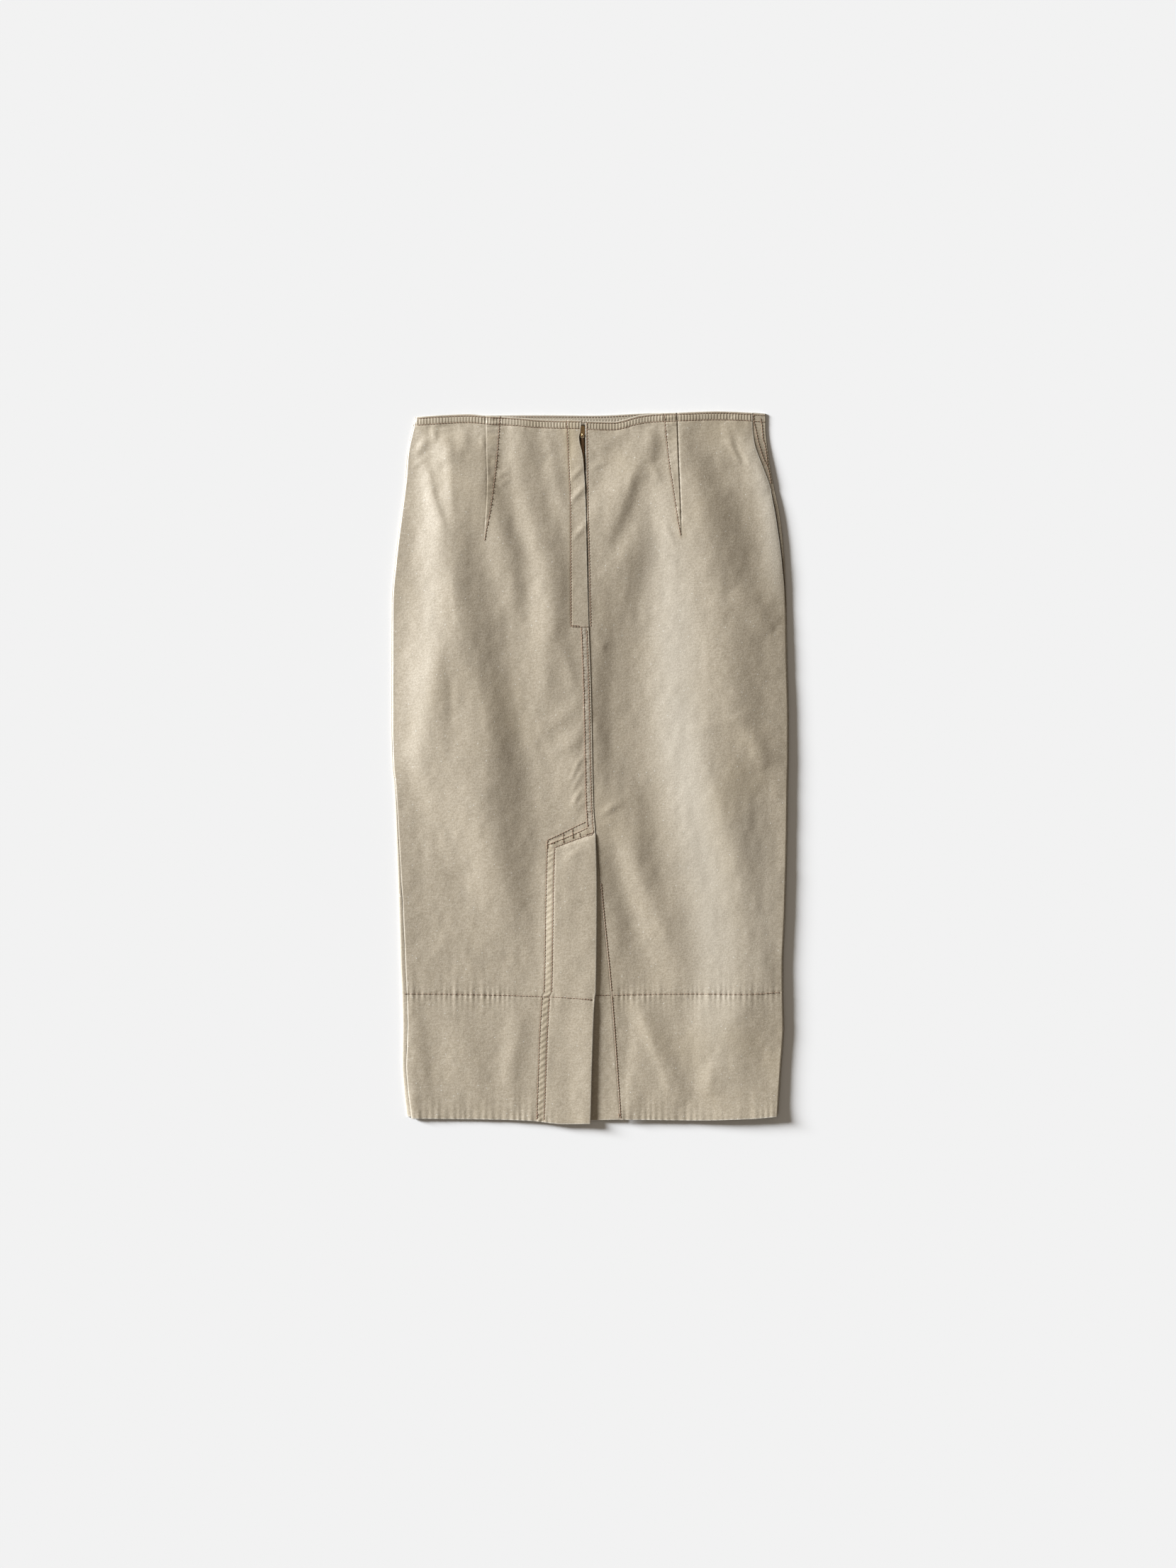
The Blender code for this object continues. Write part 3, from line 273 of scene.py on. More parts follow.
# each fold: name, rise, reach to its left, reach to its right, then its route of (across, down)
folds = [
    ("hollow in the left hip", -0.9, 10, 28, (-166, 270), (-160, 310), (-158, 350), (-158, 400)),
    ("in the left hip", 1.0, 10, 5, (-190, 56), (-185, 80), (-182, 95), (-178, 110), (-172, 126),
     (-166, 146)),
    ("beside the lap", 0.7, 8, 8, (-50, 20), (-42, 60), (-34, 100), (-28, 130)),
    ("under the zip", 0.6, 8, 7, (-36, 266), (-22, 303), (-12, 342)),
    ("across the seam, upper", 0.5, 9, 8, (-10, 338), (-34, 356), (-62, 376)),
    ("across the seam, lower", 0.35, 9, 8, (-6, 372), (-26, 386), (-48, 400)),
    ("upper right of the zip", 2.5, 22, 12, (66, 22), (60, 48), (47, 76), (39, 100), (29, 126), (12, 156)),
    ("lower right of the zip", 1.0, 12, 18, (62, 118), (49, 150), (36, 176), (20, 200)),
    ("beside the right dart", 0.9, 9, 9, (68, 18), (72, 40), (73, 60)),
    ("right corner", 1.8, 13, 12, (162, 8), (178, 30), (196, 56), (214, 90)),
    ("below the right corner", 1.6, 16, 9, (180, 40), (195, 70), (208, 100), (213, 130), (217, 160),
     (219, 190), (221, 224)),
    ("right hip", 1.1, 14, 14, (168, 206), (188, 228), (210, 256)),
    ("beside the hook", 1.3, 12, 12, (170, 350), (186, 376), (206, 412)),
    ("outside the vent", 1.2, 13, 18, (22, 468), (34, 488), (54, 520), (66, 550), (79, 580), (91, 610),
     (102, 640), (114, 680)),
    ("trough beside the vent", -1.4, 17, 12, (17, 480), (29, 520), (40, 560), (54, 600), (66, 636),
     (76, 676)),
    ("beside the vent", 1.3, 9, 14, (50, 668), (62, 700), (82, 750), (104, 806)),
    ("trough in the band", -1.1, 20, 11, (38, 676), (42, 712), (40, 752), (32, 814)),
    ("inside the vent's rows", 1.2, 20, 28, (-16, 494), (-25, 540), (-28, 600), (-30, 650), (-32, 694)),
    ("beside the rows in the band", -0.8, 18, 34, (-34, 680), (-33, 750), (-30, 822)),
    ("hem's right corner", 1.8, 14, 18, (112, 827), (150, 825), (190, 824), (244, 822)),
    ("flap", 0.4, 11, 11, (-18, 508), (-30, 556), (-42, 604)),
    ("left thigh", 0.5, 13, 13, (-187, 500), (-184, 526), (-182, 556)),
    ("trough at the band's left", -0.6, 8, 12, (-190, 674), (-188, 710), (-182, 760), (-176, 812)),
    ("band, left", 0.9, 18, 18, (-164, 680), (-156, 708), (-140, 748), (-122, 806)),
    ("band, left middle", 0.9, 12, 12, (-82, 684), (-84, 722), (-91, 762), (-90, 812)),
    ("band, lower right", 0.8, 8, 9, (138, 754), (139, 770), (136, 792)),
    ("right side", 0.8, 12, 12, (196, 610), (201, 640), (203, 676)),
]
creases = [
    ("left corner", 0.9, 5, 6, (-187, 29), (-195, 41), (-202, 53)),
    ("below the corner", 0.6, 4, 4, (-181, 17), (-180, 26), (-178, 36)),
    ("left blotch", 1.0, 12, 8, (-168, 26), (-167, 42), (-164, 62)),
    ("next blotch", 0.7, 8, 6, (-147, 18), (-145, 32), (-143, 48)),
    ("under the waist rows", -0.5, 2.5, 3, (-189, 20), (-169, 18), (-150, 16.5)),
    ("right of the zip, top", 0.5, 7, 8, (46, 22), (26, 34), (5, 45)),
    ("right of the zip, lower", 0.35, 10, 11, (14, 176), (16, 230), (17, 290), (16, 350)),
    ("pinch at the seam", 0.4, 5, 5, (5, 268), (11, 271), (20, 274)),
    ("under the left corner", 0.5, 3, 3.5, (-206, 64), (-196, 58), (-184, 50)),
    ("left of the dart", 0.4, 3, 3, (-126, 30), (-124, 36), (-121, 42)),
    ("right of the dart", 0.5, 3, 4, (-106, 76), (-99, 72), (-91, 69)),
    ("under that", 0.4, 3, 4, (-105, 86), (-98, 82), (-91, 78)),
    ("on the lap, first", 0.45, 2.5, 3, (-22, 79), (-14, 71), (-8, 65)),
    ("on the lap, second", 0.45, 2.5, 3, (-21, 104), (-13, 95), (-6, 88)),
    ("on the lap, third", 0.35, 2.5, 3, (-19, 147), (-12, 140), (-5, 133)),
    ("under the zip's top", 0.4, 3, 4, (1, 67), (12, 62), (21, 59)),
    ("right panel, upper", 0.5, 4, 4, (158, 32), (167, 46), (175, 62)),
    ("right panel, second", 0.4, 3.5, 4, (170, 40), (179, 50), (187, 63)),
    ("under the right dart's row", 0.6, 7, 5, (66, 50), (74, 66), (82, 84)),
    ("under the right dart", 0.4, 4, 4, (84, 128), (92, 142), (99, 158)),
    ("beside the vent's top", 0.6, 4, 5, (12, 470), (24, 460), (40, 452)),
    ("above the vent's corner", 0.4, 3.5, 4, (-10, 440), (-16, 450), (-20, 462)),
    ("strain, first", 0.5, 2.5, 3.5, (-7, 398), (-15, 410), (-22, 428)),
    ("strain, second", 0.45, 2.5, 3, (-7, 416), (-14, 427), (-20, 442)),
    ("strain, third", 0.4, 2.5, 3, (-7, 433), (-14, 443), (-19, 457)),
    ("strain, fourth", 0.3, 2.5, 3, (-7, 449), (-13, 457), (-17, 469)),
    ("right of the zip, middle", 0.5, 9, 9, (18, 90), (9, 112), (0, 134)),
    ("right corner, inner", 0.7, 12, 6, (153, 6), (162, 34), (171, 64)),
    ("in the flap", 0.4, 4, 5, (-6, 503), (-18, 512), (-30, 522)),
]
# paler streaks, painted highlights on the hips and ridges: strength, then reaches and a route as for folds
paintedHighlights = [
    ("left hip", 0.08, 16, 14, (-186, 40), (-184, 120), (-186, 220), (-196, 330), (-206, 430)),
    ("right hip", 0.32, 15, 14, (176, 16), (198, 60), (210, 100), (216, 140), (221, 190), (224, 236)),
    ("large ridge", 0.30, 30, 30, (84, 70), (92, 160), (98, 260), (104, 380), (122, 480), (140, 580),
     (146, 680), (138, 790)),
    ("beside the ridge", 0.12, 26, 26, (178, 420), (190, 500), (200, 600), (204, 700)),
]

waists = {-1: waistLeft, 1: waistRight}
bandSeams = {-1: bandSeamLeft, 1: bandSeamRight}
hems = {-1: hemLeft, 1: hemRight}

form = {
    "cloth": 0.9, "widest": 0.3, "liftSpread": 20.0, "sinkSpread": 18.0,
    "sideRound": 2.6, "sharpShare": 0.5, "sharpEnd": 120, "sharpFade": 80,      # the side fold
    "seamGap": 0.3, "lowSeam": 0.48, "pocketTop": 92.0, "pocketEnd": 230.0, "pocketGap": 1.5,
    "foldPoints": 16, "foldReach": 2.6, "foldEnds": 0.7,
    "noiseLeft": 240, "noiseAbove": 20, "noiseWide": 520, "noiseLong": 900,     # what the noise covers
    "lumpRise": 0.16,
}


def bell(distance):
    return np.exp(-distance * distance)


def ease(t):
    t = np.clip(t, 0, 1)
    return t * t * (3 - 2 * t)


def fade(value, start, end):
    # 1 before start, 0 after end
    return 1 - ease((value - start) / (end - start))


def wave(at, pitch):
    return np.cos(2 * math.pi * at / pitch)


def softNoise(across, down, cell, seed, stretch=1.0):
    # smooth lumps of about one cell, from -1 to 1
    dice = np.random.default_rng(seed)
    columns, rows = int(form["noiseWide"] / cell) + 3, int(form["noiseLong"] / (cell * stretch)) + 3
    lattice = dice.uniform(-1, 1, (columns, rows))
    u, v = (across + form["noiseLeft"]) / cell, (down + form["noiseAbove"]) / (cell * stretch)
    i, j = np.clip(u.astype(int), 0, columns - 2), np.clip(v.astype(int), 0, rows - 2)
    s, t = ease(u - i), ease(v - j)
    low = lattice[i, j] * (1 - s) + lattice[i + 1, j] * s
    high = lattice[i, j + 1] * (1 - s) + lattice[i + 1, j + 1] * s
    return low * (1 - t) + high * t


def noiseAlong(across, cell, seed):
    # lumps that change only across the skirt
    return softNoise(across, across * 0, cell, seed)


def noiseDown(down, cell, seed):
    return softNoise(down * 0, down, cell, seed)


def blendSlopes(slope):
    # the slope at each inner point, level where the line turns back
    turning = slope[:-1] * slope[1:] <= 0
    steep = 2 * slope[:-1] * slope[1:] / np.where(turning, 1, slope[:-1] + slope[1:])
    return np.concatenate([slope[:1], np.where(turning, 0, steep), slope[-1:]])


def arc(t, run, start, end, startSlope, endSlope):
    return ((1 + 2 * t) * (1 - t) ** 2 * start + t * (1 - t) ** 2 * run * startSlope
            + t * t * (3 - 2 * t) * end + t * t * (t - 1) * run * endSlope)


def smooth(xs, ys, x):
    # a curve through the points that doesn't swing past them
    xs, ys = np.asarray(xs, float), np.asarray(ys, float)
    x = np.clip(x, xs[0], xs[-1])
    step = np.diff(xs)
    slopes = blendSlopes(np.diff(ys) / step)
    i = np.clip(np.searchsorted(xs, x, side="right") - 1, 0, len(xs) - 2)
    return arc((x - xs[i]) / step[i], step[i], ys[i], ys[i + 1], slopes[i], slopes[i + 1])


def read(rows, column, at, by="down"):
    return smooth(rows[by], rows[column], np.asarray(at, float))


def downAt(rows, across):
    # how far down a line lies that crosses the skirt
    return read(rows, "down", across, by="across")


def sideEdge(down, side):
    return read(outline, "left" if side < 0 else "right", down)


def centreEdge(down, side):
    return read(lapEdge if side < 0 else zipEdge, "across", down)


def lengthAlong(points):
    return np.concatenate([[0], np.cumsum(np.hypot(*np.diff(points, axis=0).T))])


def routeOf(points, count):
    points = np.array(points, float)
    length = lengthAlong(points)
    along = np.linspace(0, length[-1], count)
    return np.stack([smooth(length, points[:, 0], along), smooth(length, points[:, 1], along)], -1)


def foldHeight(fold, across, down):
    name, rise, left, right, *route = fold
    path = routeOf(route, form["foldPoints"])
    reach = form["foldReach"] * max(left, right)
    near = ((across > path[:, 0].min() - reach) & (across < path[:, 0].max() + reach)
            & (down > path[:, 1].min() - reach) & (down < path[:, 1].max() + reach))
    height = np.zeros(across.shape)
    if not near.any():
        return height
    start, run = path[:-1], np.diff(path, axis=0)
    place = np.stack([across[near], down[near]], -1)[:, None, :] - start
    share = np.clip((place * run).sum(-1) / (run * run).sum(-1), 0, 1)
    offset = place - share[..., None] * run
    distance = np.hypot(offset[..., 0], offset[..., 1])
    best = distance.argmin(-1)
    each = np.arange(len(best))
    beside = (run[:, 1] * place[..., 0] - run[:, 0] * place[..., 1])[each, best]
    travel = (best + share[each, best]) / len(run)
    wide = np.where(beside < 0, left, right)
    height[near] = rise * np.sin(math.pi * travel) ** form["foldEnds"] * bell(distance[each, best] / wide)
    return height


def ribHeight(across, down):
    # a curve over the ribs, with the same manners as smooth
    x = np.array([sideEdge(down, -1)] + [read(rib, "across", down) for rib in ribs[1:-1]]
                 + [sideEdge(down, 1)])
    y = np.array([read(rib, "height", down) for rib in ribs])
    run = np.diff(x, axis=0)
    slopes = blendSlopes(np.diff(y, axis=0) / run)
    i = np.clip((across >= x).sum(0) - 1, 0, len(ribs) - 2)[None]

    def pick(rows, shift=0):
        return np.take_along_axis(rows, i + shift, 0)[0]

    t = np.clip((across - pick(x)) / pick(run), 0, 1)
    return arc(t, pick(run), pick(y), pick(y, 1), pick(slopes), pick(slopes, 1))


def topHeight(across, down, side):
    across, down = np.broadcast_arrays(np.asarray(across, float), np.asarray(down, float))
    height = ribHeight(across, down)
    for fold in folds + creases:
        height = height + foldHeight(fold, across, down)
    column, spread = ("left", form["liftSpread"]) if side < 0 else ("right", form["sinkSpread"])
    return height + read(centreLift, column, down) * bell((across - centreEdge(down, side)) / spread)


def shellHeight(across, down, side):
    # the top face, rounded down to the skirt's widest level at the side fold
    width = form["sideRound"]
    if side > 0:
        sharp = form["sharpShare"]
        width = width * (sharp + (1 - sharp) * ease((down - form["sharpEnd"]) / form["sharpFade"]))
    inward = np.clip((sideEdge(down, side) - across) * side / width, 0, 1)
    top = topHeight(across, down, side)
    low = top * form["widest"]
    return low + (top - low) * np.sqrt(np.clip(1 - (1 - inward) ** 2, 0, 1))


def seamInset(down, side):
    return np.maximum(read(sideSeams, "left" if side < 0 else "right", down), form["lowSeam"])


def seamGap(down, side):
    # the right side seam opens a little at the pocket
    gap = form["seamGap"]
    if side < 0:
        return gap + 0 * down
    share = np.clip((down - form["pocketTop"]) / (form["pocketEnd"] - form["pocketTop"]), 0, 1)
    return gap + (form["pocketGap"] - gap) * np.sin(math.pi * share) ** 0.5


def backStart(down, side):
    return sideEdge(down, side) - side * (seamInset(down, side) + seamGap(down, side))


# seams, stitch rows and small relief

sewing = {"rowDepth": 0.2, "rowWidth": 0.9, "rollRadius": 0.6}


def groove(distance, depth=sewing["rowDepth"], width=sewing["rowWidth"]):
    return -depth * bell(distance / width)


def edgeRoll(distance, radius=sewing["rollRadius"]):
    # how far a folded edge rounds down at a distance from it
    t = np.clip(distance / radius, 0, 1)
    return radius * (1 - np.sqrt(1 - (1 - t) ** 2))


darts = {
    -1: {
        "seam": {"down": [0, 59, 84, 144, 162], "across": [-120, -118.7, -118, -121.2, -122]},
        "row": {"down": [4, 53, 84, 114, 139, 150],
                "across": [-103.5, -107.2, -110.5, -114.6, -119.5, -121.5]},
        "towards": 1, "end": 158.0, "seamDepth": 0.12, "rowDepth": 0.1, "seamShade": 0.15, "rowThread": 0.1,
    },
    1: {
        "seam": {"down": [0, 84, 135, 154], "across": [100.4, 103.5, 105.2, 105.7]},
        "row": {"down": [4, 53, 96, 135, 144], "across": [86.2, 91.2, 97.5, 103.5, 105.2]},
        "towards": -1, "end": 150.0, "seamDepth": 0.42, "rowDepth": 0.2, "seamShade": 1.0, "rowThread": 0.3,
    },
}
dartShape = {"rise": 0.11, "fall": 0.6, "crumple": 0.26, "tickPitch": 7.2, "fadeOut": 35, "least": 4}


def dartPlace(across, down, side):
    # how far past the dart's seam a point is, towards its row, and how far apart the two are
    seam = read(darts[side]["seam"], "across", down)
    towards = darts[side]["towards"]
    return (across - seam) * towards, (read(darts[side]["row"], "across", down) - seam) * towards


def dartDetail(across, down, side):
    # the wedge is raised at its seam and sewn down along its row of stitches
    dart = darts[side]
    inside, width = dartPlace(across, down, side)
    width = np.maximum(width, 1.0)
    height = dartShape["rise"] * (1 - dartShape["fall"] * np.clip(inside / width, 0, 1))
    height = height * ease((inside + 0.5) / 1.4) * np.where(inside > width, np.exp(-(inside - width) / 4), 1)
    height = height + np.where(inside <= 0, groove(inside + 0.6, dart["seamDepth"], 1.1), 0)
    height = height + groove(inside - width, dart["rowDepth"])
    crumple = softNoise(across, down, 6, 11, 0.7) * dartShape["crumple"]
    crumple = crumple + dartShape["crumple"] * wave(down, dartShape["tickPitch"])
    crumple = crumple * bell((inside - width / 2) / (width / 2 + 2))
    return (height + crumple) * fade(down, dart["end"] - dartShape["fadeOut"], dart["end"])


waistEdge = {
    "rowOne": 2.3, "rowTwo": 9.7, "turn": 1.5, "ropePitch": 3.5, "ropeRise": 0.1, "ropeWander": 1.2,
    "swell": 0.12, "pleatRise": 0.24, "pleatReach": 7,
}


def waistDetail(across, down, side):
    # ropes of drawn-up cloth between the two rows, and short pleats under them
    depth = down - downAt(waists[side], across)
    first, second, turn = waistEdge["rowOne"], waistEdge["rowTwo"], waistEdge["turn"]
    between = ease((depth - first) / turn) * (1 - ease((depth - second + turn) / turn))
    lean = across + waistEdge["ropeWander"] * noiseAlong(across, 12, 5)
    strength = 0.8 + 0.4 * noiseAlong(across, 16, 6)
    ropes = waistEdge["ropeRise"] * wave(lean, waistEdge["ropePitch"]) * between * strength
    pleats = noiseAlong(across, 8, 8) + 0.5 * noiseAlong(across, 4.2, 9)
    below = np.clip(depth - second, 0, None)
    pleats = waistEdge["pleatRise"] * pleats * np.exp(-below / waistEdge["pleatReach"])
    pleats = pleats * ease((depth - second + 2) / 3)
    return ropes + pleats + groove(depth - first) + groove(depth - second) + waistEdge["swell"] * between


bandForm = {
    "seamRow": 0.9, "seamDepth": 0.12, "seamPitch": 6.2, "seamReach": 15, "swell": 0.08,
    "hemPitch": 7.6, "hemReach": 22, "puckerRise": 0.3, "tickRise": 0.24,
    "hemLift": 0.6, "hemLow": 1.2, "hemDepth": 60,      # the hem is up by one and, in part, down by the other
}


def puckers(across, pitch, seed):
    # short upright creases, about evenly spaced
    shifted = across + 0.35 * pitch * noiseAlong(across, 2.2 * pitch, seed)
    return wave(shifted, pitch) * (0.65 + 0.5 * noiseAlong(across, 3.1 * pitch, seed + 1))


def bandDetail(across, down, side):
    # the cloth puckers on both sides of the band's seam, and along the hem
    gap = down - downAt(bandSeams[side], across)
    toHem = downAt(hems[side], across) - down
    lumps = noiseAlong(across, 11, 21) + 0.7 * noiseAlong(across, 5, 22)
    lumps = lumps * np.exp(-np.abs(gap) / bandForm["seamReach"])
    low = noiseAlong(across, 9, 23) * np.exp(-toHem / bandForm["hemReach"])
    ticks = puckers(across, bandForm["seamPitch"], 24)
    ticks = ticks * np.where(gap > 0, np.exp(-gap / 7), 0.5 * np.exp(gap / 6))
    ticks = ticks + 0.8 * puckers(across, bandForm["hemPitch"], 26) * np.exp(-toHem / 11)
    creased = bandForm["puckerRise"] * (0.8 * lumps + 0.7 * low) + bandForm["tickRise"] * ticks
    lowered = bandForm["hemLow"] * fade(across, -140, -50) * ease((across - sideEdge(down, -1) - 4) / 18)
    lifted = (bandForm["hemLift"] - lowered) * ease((bandForm["hemDepth"] - toHem) / bandForm["hemDepth"])
    seam = groove(gap, bandForm["seamDepth"], 1.1)
    return creased + seam + bandForm["swell"] * bell((gap - 4) / 3) + lifted


lap = {
    "row": {"down": [10, 18, 62, 109, 249], "across": [-26.4, -26, -24, -22, -21.4]},
    "rise": 0.1, "pleatRise": 0.4, "zipEnd": 249.5, "seamEnd": 480, "rowNear": 2.7, "rowFar": 8.7,
    "step": 0.3, "ladderAt": 5.7, "ladderPitch": 3.3, "ladderRise": 0.2, "strainRise": 0.28, "strainTop": 330,
}


def onZip(down):
    # 1 beside the zip, 0 below its end
    return fade(down, lap["zipEnd"] - 1, lap["zipEnd"] + 1)


def onSeam(down):
    return (1 - onZip(down)) * fade(down, lap["seamEnd"], lap["seamEnd"] + 8)


def lapDetail(across, down):
    # the zip's lap, and the doubled centre seam under it
    fromRow = across - read(lap["row"], "across", down)
    pleats = noiseAlong(down + 0.9 * across, 9, 31) * fade(down, 110, 190)
    flap = ease(fromRow / 1.6) * lap["rise"] + groove(fromRow)
    flap = flap + lap["pleatRise"] * pleats * ease(fromRow / 3)
    inward = centreEdge(down, -1) - across
    seam = groove(inward - lap["rowNear"]) + groove(inward - lap["rowFar"])
    seam = seam + lap["step"] * (1 - ease((inward - lap["rowFar"]) / 1.5))
    lumps = wave(down + noiseDown(down, 14, 32), lap["ladderPitch"])
    seam = seam + lap["ladderRise"] * lumps * bell((inward - lap["ladderAt"]) / 2.2)
    strain = softNoise(across + 0.6 * down, down, 7, 34) * np.exp(-np.clip(inward - 9, 0, None) / 12)
    strain = strain * ease((inward - 8.5) / 2) * ease((down - lap["strainTop"]) / 60)
    seam = seam + lap["strainRise"] * strain
    return flap * onZip(down) + seam * onSeam(down)


vent = {
    "row": {"down": [505, 553, 672, 679, 820], "across": [-40.5, -42, -44, -46.5, -52.7]},
    "rowGap": 8.6, "slantGap": 9.89, "puff": 0.26, "puffPitch": 7.0, "top": 503,
    "cornerAcross": -40, "cornerDown": 504.7, "slantRise": 16.8, "slantRun": 45, "stitched": 0.15,
    "flapRise": 0.5,
}


def slantPlace(across, down):
    # how far under the vent's lower slanted row a point is
    run = (across - vent["cornerAcross"]) * vent["slantRise"] / vent["slantRun"]
    return (down - vent["cornerDown"]) + run


def onSlant(across):
    return ease((across + 50) / 4) * fade(across, 3, 7)


def onUpright(down):
    return ease((down - vent["top"]) / 6)


def ventDetail(across, down):
    # the flap's double rows, puffed between their stitches, up its side and along its slanted top
    fromRow = across - read(vent["row"], "across", down)
    slant, wide, slantWide = slantPlace(across, down), vent["rowGap"], vent["slantGap"]
    lean = down + 0.5 * across + 1.5 * noiseDown(down, 15, 41)
    puffs = 0.3 + 0.7 * wave(lean, vent["puffPitch"])
    upright = (groove(fromRow) + groove(fromRow + wide)) * onUpright(down)
    upright = upright + vent["puff"] * bell((fromRow + wide / 2) / (wide / 2.4)) * onUpright(down) * puffs
    puffs = 0.3 + 1.2 * noiseAlong(across, 4, 42)
    slanted = groove(slant) + groove(slant + slantWide)
    slanted = slanted + vent["puff"] * bell((slant + wide / 1.8) / (wide / 2.6)) * puffs
    inside = vent["stitched"] * ease(slant / 2) * ease(fromRow / 2)
    flap = vent["flapRise"] * ease(fromRow / 18) * ease(slant / 6)
    return upright + slanted * onSlant(across) + inside + flap


def backHeight(across, down, side):
    height = shellHeight(across, down, side)
    height = height + waistDetail(across, down, side) + bandDetail(across, down, side)
    lumps = softNoise(across, down, 17, 51, 1.5) + 0.7 * softNoise(across, down, 8, 52, 1.3)
    height = height + form["lumpRise"] * lumps
    if side < 0:
        height = height + lapDetail(across, down) + ventDetail(across, down)
        return height + dartDetail(across, down, side)
    fromEdge = across - centreEdge(down, side)
    height = height + groove(fromEdge - 1.9) * fade(down, 248, 252)
    height = height + groove(fromEdge - 1.6, 0.12) * ease((down - 545) / 15)
    return height + dartDetail(across, down, side)


# the cloth's finish

clothLook = {
    "base": (0.43, 0.358, 0.255), "pale": (0.58, 0.51, 0.40), "deep": (0.30, 0.245, 0.165),
    "yellow": (0.45, 0.362, 0.225), "wornAndHighlight": (0.66, 0.625, 0.55), "sewn": (0.30, 0.195, 0.12),
    "bump": 0.35, "bumpDepth": 0.00025, "roughness": 0.5, "sheen": 0.12, "sheenRoughness": 0.45, "bend": 2.1,
    "beadPitch": 3.8, "ladderValleyShade": 0.7, "speckScale": 210.0, "speckSize": 0.13, "speckChoice": 0.8,
}
# each noise: its scale along x, y and z, its detail and its roughness
clothNoises = {
    "slub": ((130, 1500, 130), 3, 0.6),
    "threads": ((380, 2300, 380), 2, 0.5),
    "warp": ((2300, 380, 380), 2, 0.5),
    "fleck": ((365.5, 430, 430), 3, 0.65),
    "mottle": ((38, 30.4, 38), 4, 0.6),
    "patches": ((9, 8, 9), 2, 0.5),
}
# each layer: a noise, where it starts and ends, its strength and its colour
clothLayers = [
    ("slub", 0.50, 0.74, 0.7, "pale"), ("fleck", 0.42, 0.7, 0.44, "deep"), ("fleck", 0.58, 0.3, 0.35, "pale"),
    ("threads", 0.52, 0.8, 0.45, "deep"), ("warp", 0.5, 0.85, 0.35, "pale"),
    ("mottle", 0.45, 0.8, 0.35, "deep"),
    ("patches", 0.5, 0.8, 0.3, "yellow"),
]
# painted layers over the cloth: a tint, paler wear with painted highlights, painted shade with dark seam
# lines, and thread colour
paintLayers = [("tint", "yellow"), ("wearAndHighlight", "wornAndHighlight"), ("shadeAndDarkSeams", "deep"), ("sewn", "sewn")]


def addNode(tree, kind, values=None, **settings):
    node = tree.nodes.new(kind)
    for name, value in settings.items():
        setattr(node, name, value)
    setInputs(node, values or {})
    return node


def mixColour(tree, factor, first, second):
    node = addNode(tree, "ShaderNodeMix", data_type="RGBA")
    tree.links.new(factor, node.inputs[0])
    for socket, value in ((6, first), (7, second)):
        if isinstance(value, bpy.types.NodeSocket):
            tree.links.new(value, node.inputs[socket])
        else:
            node.inputs[socket].default_value = (*value, 1)
    return node.outputs[2]


def ramp(tree, source, low, high):
    node = addNode(tree, "ShaderNodeMapRange", {"From Min": low, "From Max": high},
                   interpolation_type="SMOOTHSTEP")
    tree.links.new(source, node.inputs["Value"])
    return node.outputs["Result"]


def combine(tree, operation, first, second):
    node = addNode(tree, "ShaderNodeMath", operation=operation)
    for socket, value in enumerate((first, second)):
        if isinstance(value, bpy.types.NodeSocket):
            tree.links.new(value, node.inputs[socket])
        else:
            node.inputs[socket].default_value = value
    return node.outputs[0]


def scaledNoise(tree, place, scale, detail=2.0, roughness=0.5):
    mapping = addNode(tree, "ShaderNodeMapping", {"Scale": scale})
    tree.links.new(place, mapping.inputs["Vector"])
    noise = addNode(tree, "ShaderNodeTexNoise", {"Scale": 1.0, "Detail": detail, "Roughness": roughness})
    tree.links.new(mapping.outputs["Vector"], noise.inputs["Vector"])
    return noise.outputs["Fac"]


def waves(tree, place, axis, pitch):
    # bands of about even pitch, 1 in the valleys
    values = {"Scale": 2 * math.pi / (20 * pitch * mm), "Distortion": 1.2, "Detail": 1.0,
              "Detail Scale": 0.25}
    node = addNode(tree, "ShaderNodeTexWave", values, bands_direction=axis)
    tree.links.new(place, node.inputs["Vector"])
    return node.outputs["Fac"]


def attribute(tree, name):
    return addNode(tree, "ShaderNodeAttribute", attribute_name=name).outputs["Fac"]


def newMaterial(name):
    made = bpy.data.materials.new(name)
    made.use_nodes = True
    tree = made.node_tree
    return made, tree, tree.nodes["Principled BSDF"], addNode(tree, "ShaderNodeTexCoord").outputs["Object"]


def surface(tree, shader, colour, relief, strength, depth):
    tree.links.new(colour, shader.inputs["Base Color"])
    bump = addNode(tree, "ShaderNodeBump", {"Strength": strength, "Distance": depth})
    tree.links.new(relief, bump.inputs["Height"])
    tree.links.new(bump.outputs["Normal"], shader.inputs["Normal"])


def roughen(tree, shader, source, low, high):
    rough = addNode(tree, "ShaderNodeMapRange", {"To Min": low, "To Max": high})
    tree.links.new(source, rough.inputs["Value"])
    tree.links.new(rough.outputs["Result"], shader.inputs["Roughness"])


def paleSpecks(tree, place):
    specks = addNode(tree, "ShaderNodeTexVoronoi", {"Scale": clothLook["speckScale"]})
    tree.links.new(place, specks.inputs["Vector"])
    small = combine(tree, "LESS_THAN", specks.outputs["Distance"], clothLook["speckSize"])
    picked = addNode(tree, "ShaderNodeSeparateColor")
    tree.links.new(specks.outputs["Color"], picked.inputs["Color"])
    chosen = combine(tree, "GREATER_THAN", picked.outputs["Red"], clothLook["speckChoice"])
    return combine(tree, "MULTIPLY", small, chosen)


